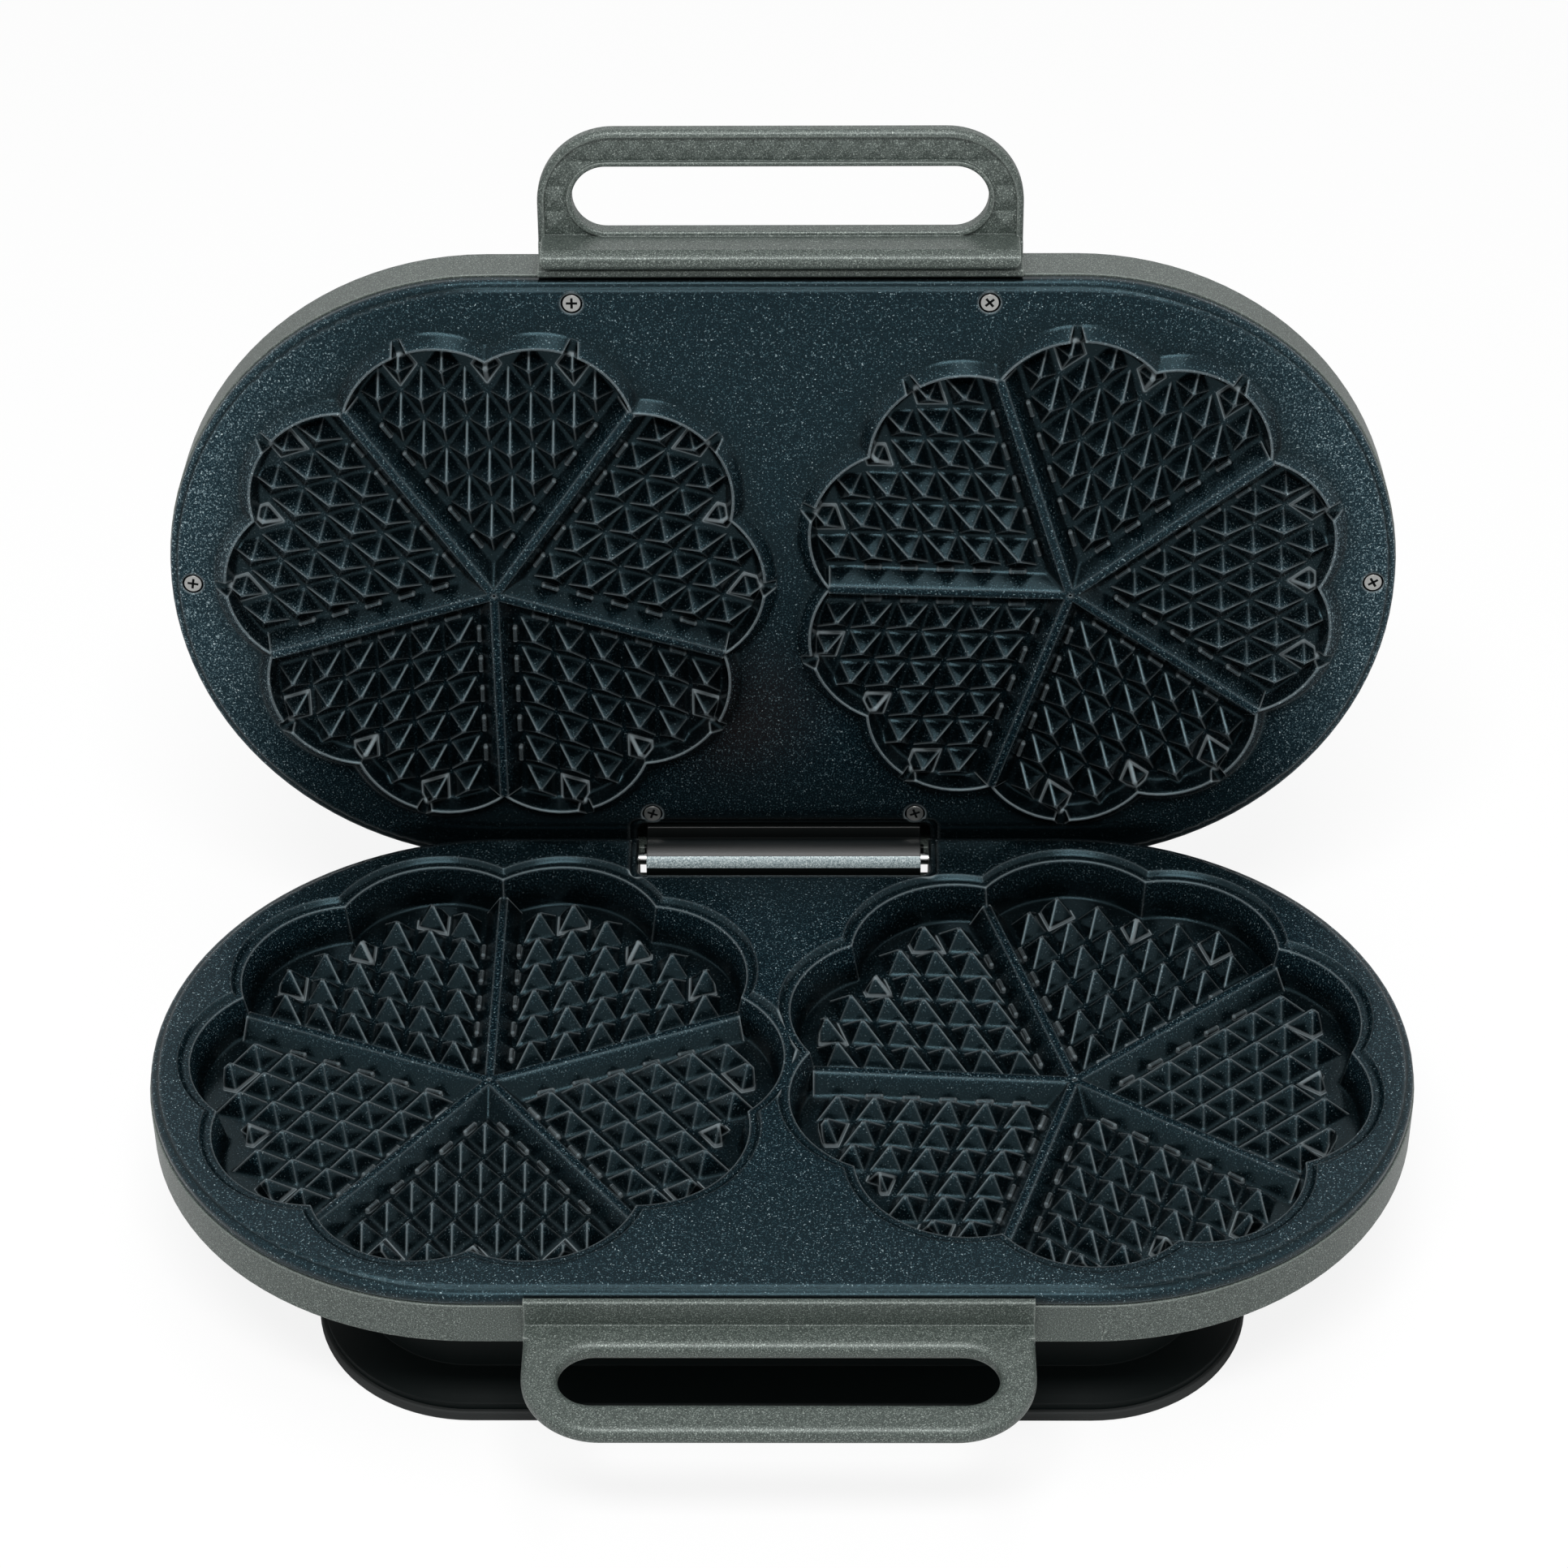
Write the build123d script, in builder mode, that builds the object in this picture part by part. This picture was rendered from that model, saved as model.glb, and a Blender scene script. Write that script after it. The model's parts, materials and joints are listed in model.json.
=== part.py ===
from build123d import *
import os
from math import atan, ceil, cos, degrees, hypot, radians, sin, tan

# Double waffle maker, standing open. Millimetres, +X right, +Y back, +Z up.
# The origin is on the table, under the middle of the lower cooking plate.

os.makedirs("parts", exist_ok=True)

# Cooking plates: two stadium castings that close face to face
PLATE_HALF_LENGTH = 202.0
PLATE_HALF_DEPTH = 107.5
PLATE_SKIRT = 5.0
PLATE_HEIGHT = 70.0
PLATE_GAP = 0.55
PLATE_EDGE_RADIUS = 1.5
RIM_WIDTH = 2.4
RIM_DROP = 1.2
FACE_EDGE_RADIUS = 1.0
CASTING_WALL = 3.0
RECESS_WALL = 4.0

# Heart flowers: five hearts round each centre, ten lobes on the outline
HEARTS = 5
LOBE_MARGIN = 14.6
RIB_CUSP_DEPTH = 9.9
HEART_CUSP_DEPTH = 6.9
LEFT_RIB_TURN = 0.0
RIGHT_RIB_TURN = 54.0

# Raised ridge of the upper plate
RIDGE_HEIGHT = 4.5
RIDGE_SLOPE = 3.9
RIDGE_TOP = 0.5
RIDGE_INNER_SLOPE = 2.3
VENT_TOP = 5.0
VENT_BOTTOM = 2.5
VENT_SILL = 0.3

# Sunk rim of the lower plate, just outside the ridge
RECESS_MARGIN = 6.3
RECESS_STEP_RUN = 1.2
RECESS_STEP_DROP = 1.5
LEDGE_WIDTH = 2.7
RECESS_DRAFT = 3.0

# Pyramid field: rhombic frusta on a ten-sided dome, lined up with the ribs
FIRST_TIP = 21.2
CELL_HALF_LENGTH = 9.6
TIP_EDGE_ROOM = 4.4
TIP_RISE = 9.9
TIP_FALL = 0.07
TIP_HALF_WIDTH = 0.5
PYRAMID_HEIGHT = 6.5
PYRAMID_ROOT = 0.9
TRACK_ROOT = 1.0
GROOVE_WIDTH = 1.5
DOME_TOP_RADIUS = 4.0
RIB_TOP_WIDTH = 2.7
RIB_RISE = 9.0
RIB_START = 0.5
RIB_END_GAP = 1.0
WAFFLE_WEB = 5.0

# Lid hinge: a tongue on the lid turns on a steel pin in the base's rear pocket
HINGE_INSET = 5.2
HINGE_DROP = 6.5
OPEN_ANGLE = 98.46
TONGUE_RADIUS = 7.3
TONGUE_HALF_WIDTH = 46.5
TONGUE_DEPTH = 12.0
TONGUE_FACE = 0.3
TONGUE_GAP = 0.5
PIN_RADIUS = 2.0
PIN_CLEARANCE = 0.05
PIN_END_GAP = 0.5
NOTCH_HALF_WIDTH = 49.3
NOTCH_REACH = 14.1
NOTCH_CORNER = 3.0
LID_NOTCH_HALF_WIDTH = 50.0
LID_NOTCH_REACH = 8.6
HINGE_CHEEK = 6.0
CHEEK_RADIUS = 5.0
CHEEK_TOP = 3.4
POCKET_WALL = 2.0
POCKET_GAP = 0.5
POCKET_ROOF = 3.0
POCKET_DEPTH = 17.5

# Housings: a straight band, then a slope to the closed side
SHELL_WALL = 2.5
BAND_PROUD = 0.5
BAND_TOP = 5.6
BASE_BAND_BOTTOM = 20.8
BASE_SLOPE = 8.0
BASE_SLOPE_RUN = 13.9
LID_BAND_BOTTOM = 22.0
LID_SLOPE = 26.0
LID_SLOPE_RUN = 23.4
LID_CROWN_RADIUS = 24.0

# Pedestal and the rubber ring that it stands on
FOOT_INSET_X = 53.0
FOOT_INSET_Y = 11.5
FOOT_CORNER = 52.0
RING_HEIGHT = 4.0
RING_WIDTH = 9.0
RING_EDGE_RADIUS = 0.8
FLANGE_INSET = 1.5
FLANGE_HEIGHT = 2.5
COVE_RISE = 4.7
COVE_RUN = 12.0
COVER_THICKNESS = 2.0
COVER_CLEARANCE = 0.4
EAR_RADIUS = 6.0
EAR_INSET = 4.5
COVER_VENTS = 9
COVER_VENT_LENGTH = 46.0
COVER_VENT_WIDTH = 3.0
COVER_VENT_PITCH = 9.0

# Handles
HANDLE_HALF_WIDTH = 77.0
HANDLE_REACH = 47.0
HANDLE_FACE = 10.0
HANDLE_THICKNESS = 6.2
HANDLE_CORNER = 24.5
HANDLE_BAR = 12.0
SLOT_HALF_LENGTH = 66.0
SLOT_WIDTH = 21.9
LOWER_HANDLE_ROUND = 2.6
UPPER_HANDLE_ROUND = 1.8
SLOT_ROUND = 0.8
ROOT_REACH = 9.0
ROOT_CHAMFER = 4.6
FIN_GAP = 1.5
FIN_WIDTH = 2.5
FIN_TOP = 0.6
FIN_ROUND = 0.8
LIP_HALF_WIDTH = 75.8
LIP_BACK = 5.7
LIP_FRONT = 10.0
LIP_HEIGHT = 4.0
LIP_ROUND = 2.0
LIP_FOOT = 11.6
LIP_HOLLOW = 1.6
LIP_CORNER = 4.0
HANDLE_SCREW_X = 48.0

# Prism band on the upper handle: square pyramids in a shallow recess
PRISM_RIM = 2.2
PRISM_BEAD = 1.6
PRISM_PITCH = 8.4
PRISM_DEPTH = 1.2
PRISM_DROP = 0.4

# Heating
TUBE_RADIUS = 3.5
TUBE_FIT = 0.1
LOOP_END = 11.0
LOOP_SIDE = 34.0
LOOP_STRAIGHT = 4.0
TERMINAL_X = 15.0
TERMINAL_DROP = 14.0
TERMINAL_BEND = 9.0
TRACK_HALF_WIDTH = 6.0
TRACK_HEIGHT = 4.0
POST_RADIUS = 4.0
POST_EDGE = 14.0
REFLECTOR_CLEARANCE = 5.0
REFLECTOR_THICKNESS = 0.8
REFLECTOR_RIM = 4.0
REFLECTOR_STANDOFF = 6.5
TERMINAL_SLOT = (48.0, 14.0)
PLATE_POST_X = 62.0
PLATE_POST_INSET = 20.0

# Screws
SCREW_RADIUS = 1.5
SCREW_HOLE = 1.7
SCREW_FIT = 0.05
SCREW_TIP_GAP = 0.5
SCREW_HEAD_RADIUS = 2.85
SCREW_HEAD_HEIGHT = 1.8
SCREW_RECESS_RADIUS = 3.5
SCREW_RECESS_DEPTH = 2.0
SCREW_BITE = 8.0
LID_BOSS_RADIUS = 6.0
LID_SCREW_TOP = (66.4, 7.1)
LID_SCREW_SIDE = 7.4
LID_SCREW_HINGE = (44.7, 4.9)

# Control and pilot lamps on the lid
KNOB_RADIUS = 22.0
KNOB_HEIGHT = 14.0
KNOB_GAP = 0.8
KNOB_WALL = 2.5
KNOB_FLUTES = 18
KNOB_FLUTE_RADIUS = 1.6
KNOB_HUB_RADIUS = 6.0
KNOB_HOLLOW = 7.0
SHAFT_RADIUS = 3.0
SHAFT_CLEARANCE = 0.05
BUSHING_RADIUS = 5.0
BUSHING_CLEARANCE = 0.3
NUT_WIDTH = 14.0
NUT_HEIGHT = 2.5
THERMOSTAT_SIZE = (36.0, 30.0, 12.0)
THERMOSTAT_TAB = (6.0, 8.0, 0.8)
THERMOSTAT_TAB_X = 8.0
THERMOSTAT_TAB_DEPTH = 10.0
BUSHING_HEIGHT = 4.0
HUB_GAP = 0.5
KNOB_EDGE_RADIUS = 2.0
KNOB_SKIN = 2.0
POINTER = (16.0, 2.0)
POINTER_HEIGHT = 0.8
SHAFT_DEPTH = 9.5
LAMP_X = 44.0
LAMP_RADIUS = 4.0
LAMP_PROUD = 1.6
LAMP_FLANGE = 1.2
LAMP_DEPTH = 4.0
LAMP_FIT = 0.05
BULB_RADIUS = 2.6
BULB_LENGTH = 11.0

# Electrical parts in the pedestal
GLAND_HEIGHT = 24.0
GLAND_RADIUS = 7.0
GLAND_FLANGE_RADIUS = 9.5
GLAND_BORE = 3.4
BLOCK_SIZE = (46.0, 18.0, 14.0)
BLOCK_POSITION = (30.0, 44.0)
BLOCK_WAYS = 3
BLOCK_PITCH = 14.0
BLOCK_WELL_RADIUS = 2.4
BLOCK_WELL_DEPTH = 5.0
GLAND_FLANGE = 2.0
GLAND_NOSE = 6.0
GLAND_NUT = 3.0
LEAD_RADIUS = 1.3
LEAD_BEND = 4.0
LEAD_LEG = 15.0
LEAD_GAP = 0.5

# The rest of the file works from the values above.
FLOWER_X = PLATE_HALF_LENGTH - PLATE_HALF_DEPTH
LOBE_RADIUS = PLATE_HALF_DEPTH - LOBE_MARGIN
RIB_CUSP_RADIUS = LOBE_RADIUS - RIB_CUSP_DEPTH
HEART_CUSP_RADIUS = LOBE_RADIUS - HEART_CUSP_DEPTH
LOWER_FLOWERS = ((-FLOWER_X, LEFT_RIB_TURN), (FLOWER_X, RIGHT_RIB_TURN))
UPPER_FLOWERS = ((-FLOWER_X, 180 - LEFT_RIB_TURN), (FLOWER_X, 180 - RIGHT_RIB_TURN))
HEART_STEP = 360 / HEARTS
RIB_ANGLE = HEART_STEP / 2
CELL_HALF_WIDTH = CELL_HALF_LENGTH * tan(radians(RIB_ANGLE))
CELL_REACH = CELL_HALF_LENGTH * sin(radians(RIB_ANGLE))
PYRAMID_SLOPE = (CELL_REACH - GROOVE_WIDTH / 2 - TIP_HALF_WIDTH) / PYRAMID_HEIGHT
RIDGE_FOOT = RIDGE_SLOPE + RIDGE_TOP + RIDGE_INNER_SLOPE
RIB_REACH = RIB_CUSP_RADIUS - RIDGE_SLOPE
RIB_FALL = (RIB_RISE - RIDGE_HEIGHT) / RIB_REACH
DOME_RADIUS = RIB_CUSP_RADIUS - RIDGE_FOOT
LOWER_RIB_REACH = RIB_CUSP_RADIUS + RECESS_MARGIN - RECESS_STEP_RUN - LEDGE_WIDTH - RIB_END_GAP

HINGE_Y = PLATE_HALF_DEPTH - HINGE_INSET
NOTCH_Y = HINGE_Y - NOTCH_REACH
LID_NOTCH_Y = HINGE_Y - LID_NOTCH_REACH
HINGE_TO_LID_FACE = HINGE_DROP + PLATE_GAP
HINGE_POINT = Vector(0, HINGE_Y, PLATE_HEIGHT - HINGE_DROP)
LID_Y_DIR = Vector(0, -cos(radians(OPEN_ANGLE)), sin(radians(OPEN_ANGLE)))
LID_Z_DIR = Vector(0, -sin(radians(OPEN_ANGLE)), -cos(radians(OPEN_ANGLE)))

# Each plate is drawn on its own face, and local +Z leaves the face towards the batter.
# The lower plate's local +Y points back, the upper plate's to its handle.
LOWER_FACE = Plane((0, 0, PLATE_HEIGHT))
UPPER_FACE = Plane(
    origin=HINGE_POINT + LID_Y_DIR * HINGE_Y - LID_Z_DIR * HINGE_TO_LID_FACE,
    x_dir=(1, 0, 0),
    z_dir=LID_Z_DIR,
)
# The lower handle is the upper one's twin, drawn with local +Y to the front.
FRONT_FACE = Plane((0, 0, PLATE_HEIGHT), x_dir=(-1, 0, 0), z_dir=(0, 0, 1))
HINGE_PLANE = Plane(HINGE_POINT, x_dir=(0, 1, 0), z_dir=(1, 0, 0))


def polar(radius, clock):
    """Point at a clock angle: 0 is local +Y, and angles grow clockwise."""
    return (radius * sin(radians(clock)), radius * cos(radians(clock)))


def radial_plane(face, centre_x, clock, radius):
    """Plane square to a flower's radius: x along the tangent, y out of the face."""
    turned = Location((centre_x, 0, 0), (0, 0, -clock))
    return Plane(face.location * turned * Location((0, radius, 0), (90, 0, 0)))


def stadium(inset, mode=Mode.ADD):
    """The plates' outline, drawn in by inset."""
    length = 2 * (PLATE_HALF_LENGTH - inset)
    SlotOverall(length, 2 * (PLATE_HALF_DEPTH - inset), mode=mode)


def notch(half_width, edge, side):
    """Gap for the hinge at the plate's edge; side is +1 or -1 along local Y."""
    reach = PLATE_HALF_DEPTH
    with Locations((0, side * (edge + reach / 2))):
        RectangleRounded(2 * half_width, reach, NOTCH_CORNER, mode=Mode.SUBTRACT)


def flower(centre_x, turn, inset):
    """Ten lobed arcs; turn is the clock angle of a rib cusp, inset draws them all in."""
    quarter = HEART_STEP / 4

    def at(radius, clock):
        point = polar(radius - inset, clock)
        return (centre_x + point[0], point[1])

    with BuildLine() as outline:
        for number in range(HEARTS):
            start = turn + number * HEART_STEP
            middle = start + 2 * quarter
            end = start + HEART_STEP
            ThreePointArc(
                at(RIB_CUSP_RADIUS, start),
                at(LOBE_RADIUS, start + quarter),
                at(HEART_CUSP_RADIUS, middle),
            )
            ThreePointArc(
                at(HEART_CUSP_RADIUS, middle),
                at(LOBE_RADIUS, middle + quarter),
                at(RIB_CUSP_RADIUS, end),
            )
    make_face(outline.line.edges())


def flower_loft(face, centre_x, turn, levels, mode):
    """Ruled walls through (height, inset) pairs, from one flower outline to the next."""
    outlines = []
    for height, inset in levels:
        with BuildSketch(face.offset(height)) as outline:
            flower(centre_x, turn, inset)
        outlines.append(outline.sketch)
    loft(outlines, ruled=True, mode=mode)


def facet_loft(face, centre_x, turn, levels, mode):
    """Ten flat facets through (height, radius) pairs, creased on ribs and heart axes."""
    outlines = []
    for height, radius in levels:
        with BuildSketch(face.offset(height)) as outline:
            with Locations(Location((centre_x, 0, 0), (0, 0, 90 - turn))):
                RegularPolygon(radius, 2 * HEARTS)
        outlines.append(outline.sketch)
    loft(outlines, ruled=True, mode=mode)


def upper_tip_level(radius):
    return TIP_RISE - TIP_FALL * radius


def lower_tip_level(radius):
    return PLATE_GAP - upper_tip_level(radius) - WAFFLE_WEB


def upper_rib_level(radius):
    return RIB_RISE - RIB_FALL * radius


def lower_rib_level(radius):
    return PLATE_GAP - upper_rib_level(radius) - WAFFLE_WEB


def outline_radius(angle):
    """Radius of the flower outline at an angle from a heart's axis."""
    share = abs(angle) / RIB_ANGLE
    cusps = HEART_CUSP_RADIUS + (RIB_CUSP_RADIUS - HEART_CUSP_RADIUS) * share
    bulge = LOBE_RADIUS - (RIB_CUSP_RADIUS + HEART_CUSP_RADIUS) / 2
    return cusps + bulge * sin(radians(180 * share))


def heart_cells():
    """Tips of one heart's full pyramids as (along, aside), aside never negative."""
    cells = []
    along = FIRST_TIP
    row = 0
    while along < LOBE_RADIUS:
        for column in range(row // 2 + 1):
            aside = CELL_HALF_WIDTH * (row - 2 * column)
            angle = degrees(atan(aside / along))
            edge = outline_radius(angle) - RIDGE_FOOT
            if hypot(along, aside) < edge - TIP_EDGE_ROOM:
                cells.append((along, aside))
        along += CELL_HALF_LENGTH
        row += 1
    return cells


def pyramid_field(face, flowers, tip_level):
    """Every full pyramid of a plate, standing a little below the valley floor."""
    pyramids = []
    height = PYRAMID_HEIGHT + PYRAMID_ROOT
    half_width = TIP_HALF_WIDTH + height * PYRAMID_SLOPE
    half_length = half_width / sin(radians(RIB_ANGLE))
    half_across = half_width / cos(radians(RIB_ANGLE))
    for along, aside in heart_cells():
        spots = [(along, aside)]
        if aside > 0:
            spots.append((along, -aside))
        with BuildSketch(face.offset(tip_level(hypot(along, aside)) - height)) as feet:
            for centre_x, turn in flowers:
                with Locations((centre_x, 0)):
                    with PolarLocations(0, HEARTS, start_angle=90 - turn - RIB_ANGLE):
                        with Locations(*spots):
                            Polygon(
                                (half_length, 0),
                                (0, half_across),
                                (-half_length, 0),
                                (0, -half_across),
                            )
        taper = degrees(atan(PYRAMID_SLOPE))
        pyramids.append(extrude(feet.sketch, amount=height, taper=taper, mode=Mode.PRIVATE))
    return pyramids


def rib_fan(face, flowers, rib_level, floor_level, reach):
    """Five straight ribs that part the hearts, sloped along their tops."""
    ribs = []
    for centre_x, turn in flowers:
        for number in range(HEARTS):
            clock = turn + number * HEART_STEP
            ends = []
            for radius in (RIB_START, reach):
                top = rib_level(radius)
                bottom = floor_level(radius) - PYRAMID_ROOT
                half_top = RIB_TOP_WIDTH / 2
                half_bottom = half_top + (top - bottom) * PYRAMID_SLOPE
                with BuildSketch(radial_plane(face, centre_x, clock, radius)) as end:
                    Polygon(
                        (-half_top, top),
                        (half_top, top),
                        (half_bottom, bottom),
                        (-half_bottom, bottom),
                        align=None,
                    )
                ends.append(end.sketch)
            ribs.append(loft(ends, mode=Mode.PRIVATE))
    return ribs


def upper_floor_level(radius):
    return upper_tip_level(min(radius, DOME_RADIUS)) - PYRAMID_HEIGHT


def lower_floor_level(radius):
    return lower_tip_level(min(radius, DOME_RADIUS)) - PYRAMID_HEIGHT


def heater_path(face, level):
    """Racetrack loop at a level of the face, its two ends bent away from the plate."""
    with BuildLine(face.offset(level)) as path:
        FilletPolyline(
            (-TERMINAL_X, -LOOP_HALF_DEPTH, -TERMINAL_DROP),
            (-TERMINAL_X, -LOOP_HALF_DEPTH, 0),
            (-LOOP_HALF_LENGTH, -LOOP_HALF_DEPTH, 0),
            (-LOOP_HALF_LENGTH, LOOP_HALF_DEPTH, 0),
            (LOOP_HALF_LENGTH, LOOP_HALF_DEPTH, 0),
            (LOOP_HALF_LENGTH, -LOOP_HALF_DEPTH, 0),
            (TERMINAL_X, -LOOP_HALF_DEPTH, 0),
            (TERMINAL_X, -LOOP_HALF_DEPTH, -TERMINAL_DROP),
            radius=[TERMINAL_BEND] + 4 * [LOOP_CORNER] + [TERMINAL_BEND],
        )
    return path


def heater_tube(face, level, radius, mode=Mode.ADD):
    """Tube of a radius swept along the heater's path."""
    path = heater_path(face, level)
    with BuildSketch(face.offset(level - TERMINAL_DROP)) as section:
        with Locations((-TERMINAL_X, -LOOP_HALF_DEPTH)):
            Circle(radius)
    sweep(section.sketch, path.line, mode=mode)


def heater_track(face, top, bottom):
    """Raised seat under the plate that follows the heater's loop."""
    length = 2 * LOOP_HALF_LENGTH
    depth = 2 * LOOP_HALF_DEPTH
    width = 2 * TRACK_HALF_WIDTH
    with BuildSketch(face.offset(bottom)) as seat:
        RectangleRounded(length + width, depth + width, LOOP_CORNER + TRACK_HALF_WIDTH)
        RectangleRounded(
            length - width, depth - width, LOOP_CORNER - TRACK_HALF_WIDTH, mode=Mode.SUBTRACT
        )
    extrude(seat.sketch, amount=top - bottom)


def reflector_tray(face, level):
    """Pressed tray with its rim turned to the plate, slotted for the terminals."""
    with BuildSketch(face.offset(level - REFLECTOR_THICKNESS)) as outline:
        RectangleRounded(2 * TRAY_HALF_LENGTH, 2 * TRAY_HALF_DEPTH, FOOT_CORNER)
    extrude(outline.sketch, amount=REFLECTOR_THICKNESS + REFLECTOR_RIM)
    with BuildSketch(face.offset(level)) as inside:
        RectangleRounded(
            2 * (TRAY_HALF_LENGTH - REFLECTOR_THICKNESS),
            2 * (TRAY_HALF_DEPTH - REFLECTOR_THICKNESS),
            FOOT_CORNER - REFLECTOR_THICKNESS,
        )
    extrude(inside.sketch, amount=REFLECTOR_RIM, mode=Mode.SUBTRACT)
    with BuildSketch(face.offset(level)) as holes:
        with Locations(*TRAY_SCREWS):
            Circle(SCREW_HOLE)
        with Locations((0, -LOOP_HALF_DEPTH)):
            SlotOverall(*TERMINAL_SLOT)
    extrude(holes.sketch, amount=-REFLECTOR_THICKNESS, mode=Mode.SUBTRACT)


def screws(face, level, spots, bite, away=1):
    """Plain screws with their heads standing on a level; away is the head's side."""
    with BuildSketch(face.offset(level)) as heads:
        with Locations(*spots):
            Circle(SCREW_HEAD_RADIUS)
    extrude(heads.sketch, amount=away * SCREW_HEAD_HEIGHT)
    with BuildSketch(face.offset(level)) as shanks:
        with Locations(*spots):
            Circle(SCREW_RADIUS)
    extrude(shanks.sketch, amount=-away * bite)


def plate_slab(face, half_width, edge, side):
    """Flat stadium casting with its low rim and the hinge notch."""
    rim = Axis(face.origin, face.z_dir)
    with BuildSketch(face.offset(-PLATE_SKIRT)) as body:
        stadium(0)
        notch(half_width, edge, side)
    extrude(body.sketch, amount=PLATE_SKIRT - RIM_DROP)
    fillet(faces().sort_by(rim)[-1].outer_wire().edges(), PLATE_EDGE_RADIUS)
    with BuildSketch(face.offset(-RIM_DROP)) as step:
        stadium(RIM_WIDTH)
        notch(half_width + RIM_WIDTH, edge - RIM_WIDTH, side)
    extrude(step.sketch, amount=RIM_DROP)
    fillet(faces().sort_by(rim)[-1].outer_wire().edges(), FACE_EDGE_RADIUS)


def housing_form(face, levels, inset, mode):
    """Stadium form of a housing through (height, run) pairs: a straight band, then a slope."""
    for (low, low_run), (high, high_run) in zip(levels, levels[1:]):
        ends = []
        for height, run in ((low, low_run), (high, high_run)):
            with BuildSketch(face.offset(height)) as outline:
                stadium(inset + run)
            ends.append(outline.sketch)
        loft(ends, ruled=True, mode=mode)


def foot_slab(low, low_inset, high, high_inset, mode):
    """Rounded slab of the foot between two heights above the table."""
    ends = []
    for height, inset in ((low, low_inset), (high, high_inset)):
        with BuildSketch(Plane.XY.offset(height)) as outline:
            RectangleRounded(
                2 * (FOOT_HALF_LENGTH - inset),
                2 * (FOOT_HALF_DEPTH - inset),
                FOOT_CORNER - inset,
            )
        ends.append(outline.sketch)
    loft(ends, ruled=True, mode=mode)


def wall_plane(face):
    """Inner side of a housing's band at its handle, looking into the housing."""
    depth = PLATE_HALF_DEPTH + BAND_PROUD - SHELL_WALL
    return Plane(face.location * Location((0, depth, HANDLE_SCREW_LEVEL), (90, 0, 0)))


def side_section(face):
    """Upright section through a handle's middle: x away from the plate, y out of the face."""
    return Plane(face.origin, x_dir=face.y_dir, z_dir=face.x_dir)


def handle(face, edge_radius, slot_radius):
    """Handle with its slot, root and splash fin, pointing to the face's local +Y."""
    root = PLATE_HALF_DEPTH + BAND_PROUD
    side = Axis(face.origin, face.y_dir)
    upright = Axis(face.origin, face.z_dir)
    with BuildSketch(face.offset(-HANDLE_FACE)) as outline:
        with Locations((0, (root + HANDLE_TIP) / 2)):
            Rectangle(2 * HANDLE_HALF_WIDTH, HANDLE_TIP - root)
        fillet(vertices().group_by(Axis.Y)[-1], HANDLE_CORNER)
    extrude(outline.sketch, amount=-HANDLE_THICKNESS)
    fillet(edges().filter_by(upright, reverse=True).sort_by(side)[2:], edge_radius)
    with BuildSketch(face.offset(-HANDLE_FACE)) as slot:
        grip_slot(0)
    extrude(slot.sketch, amount=-HANDLE_THICKNESS, mode=Mode.SUBTRACT)
    fillet(edges(Select.LAST).filter_by(upright, reverse=True), slot_radius)
    foot = root + ROOT_REACH
    back = PLATE_HALF_DEPTH + FIN_GAP
    front = back + FIN_WIDTH
    with BuildSketch(side_section(face)) as profile:
        Polygon(
            (root, -BASE_BAND_BOTTOM),
            (foot - ROOT_CHAMFER, -BASE_BAND_BOTTOM),
            (foot, ROOT_CHAMFER - BASE_BAND_BOTTOM),
            (foot, -HANDLE_FACE),
            (front, -HANDLE_FACE),
            (front, -FIN_TOP),
            (back, -FIN_TOP),
            (back, -HANDLE_FACE),
            (root, -HANDLE_FACE),
            align=None,
        )
        fillet(vertices().group_by(Axis.Y)[-1], FIN_ROUND)
    extrude(profile.sketch, amount=HANDLE_HALF_WIDTH, both=True)
    with BuildSketch(wall_plane(face).offset(-SHELL_WALL)) as holes:
        with Locations(*HANDLE_SCREWS):
            Circle(SCREW_RADIUS + SCREW_FIT)
    extrude(holes.sketch, amount=-SCREW_BITE, mode=Mode.SUBTRACT)


def grip_slot(margin, mode=Mode.ADD):
    """The grip slot's outline, grown by a margin."""
    with Locations((0, HANDLE_TIP - HANDLE_BAR - SLOT_WIDTH / 2)):
        SlotOverall(2 * (SLOT_HALF_LENGTH + margin), SLOT_WIDTH + 2 * margin, mode=mode)


def saw_teeth(first_valley, step, teeth):
    """Outline of a row of V grooves: valleys step apart, open at the top."""
    points = [(first_valley, PRISM_DEPTH), (first_valley, -PRISM_DEPTH)]
    for tooth in range(teeth):
        valley = first_valley + tooth * step
        points.append((valley + step / 2, 0))
        points.append((valley + step, -PRISM_DEPTH))
    points.append((first_valley + teeth * step, PRISM_DEPTH))
    Polygon(*points, align=None)


def lamp(centre_x):
    """Pilot lamp lens, pushed into its hole in the crown."""
    with BuildSketch(CROWN_FACE) as flange:
        with Locations((centre_x, 0)):
            Circle(LAMP_RADIUS + LAMP_FLANGE)
    extrude(flange.sketch, amount=LAMP_PROUD)
    top = faces().sort_by(Axis(CROWN_FACE.origin, CROWN_FACE.z_dir))[-1]
    fillet(top.edges(), LAMP_PROUD / 2)
    with BuildSketch(CROWN_FACE) as stem:
        with Locations((centre_x, 0)):
            Circle(LAMP_RADIUS)
    extrude(stem.sketch, amount=-LAMP_DEPTH)


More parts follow.
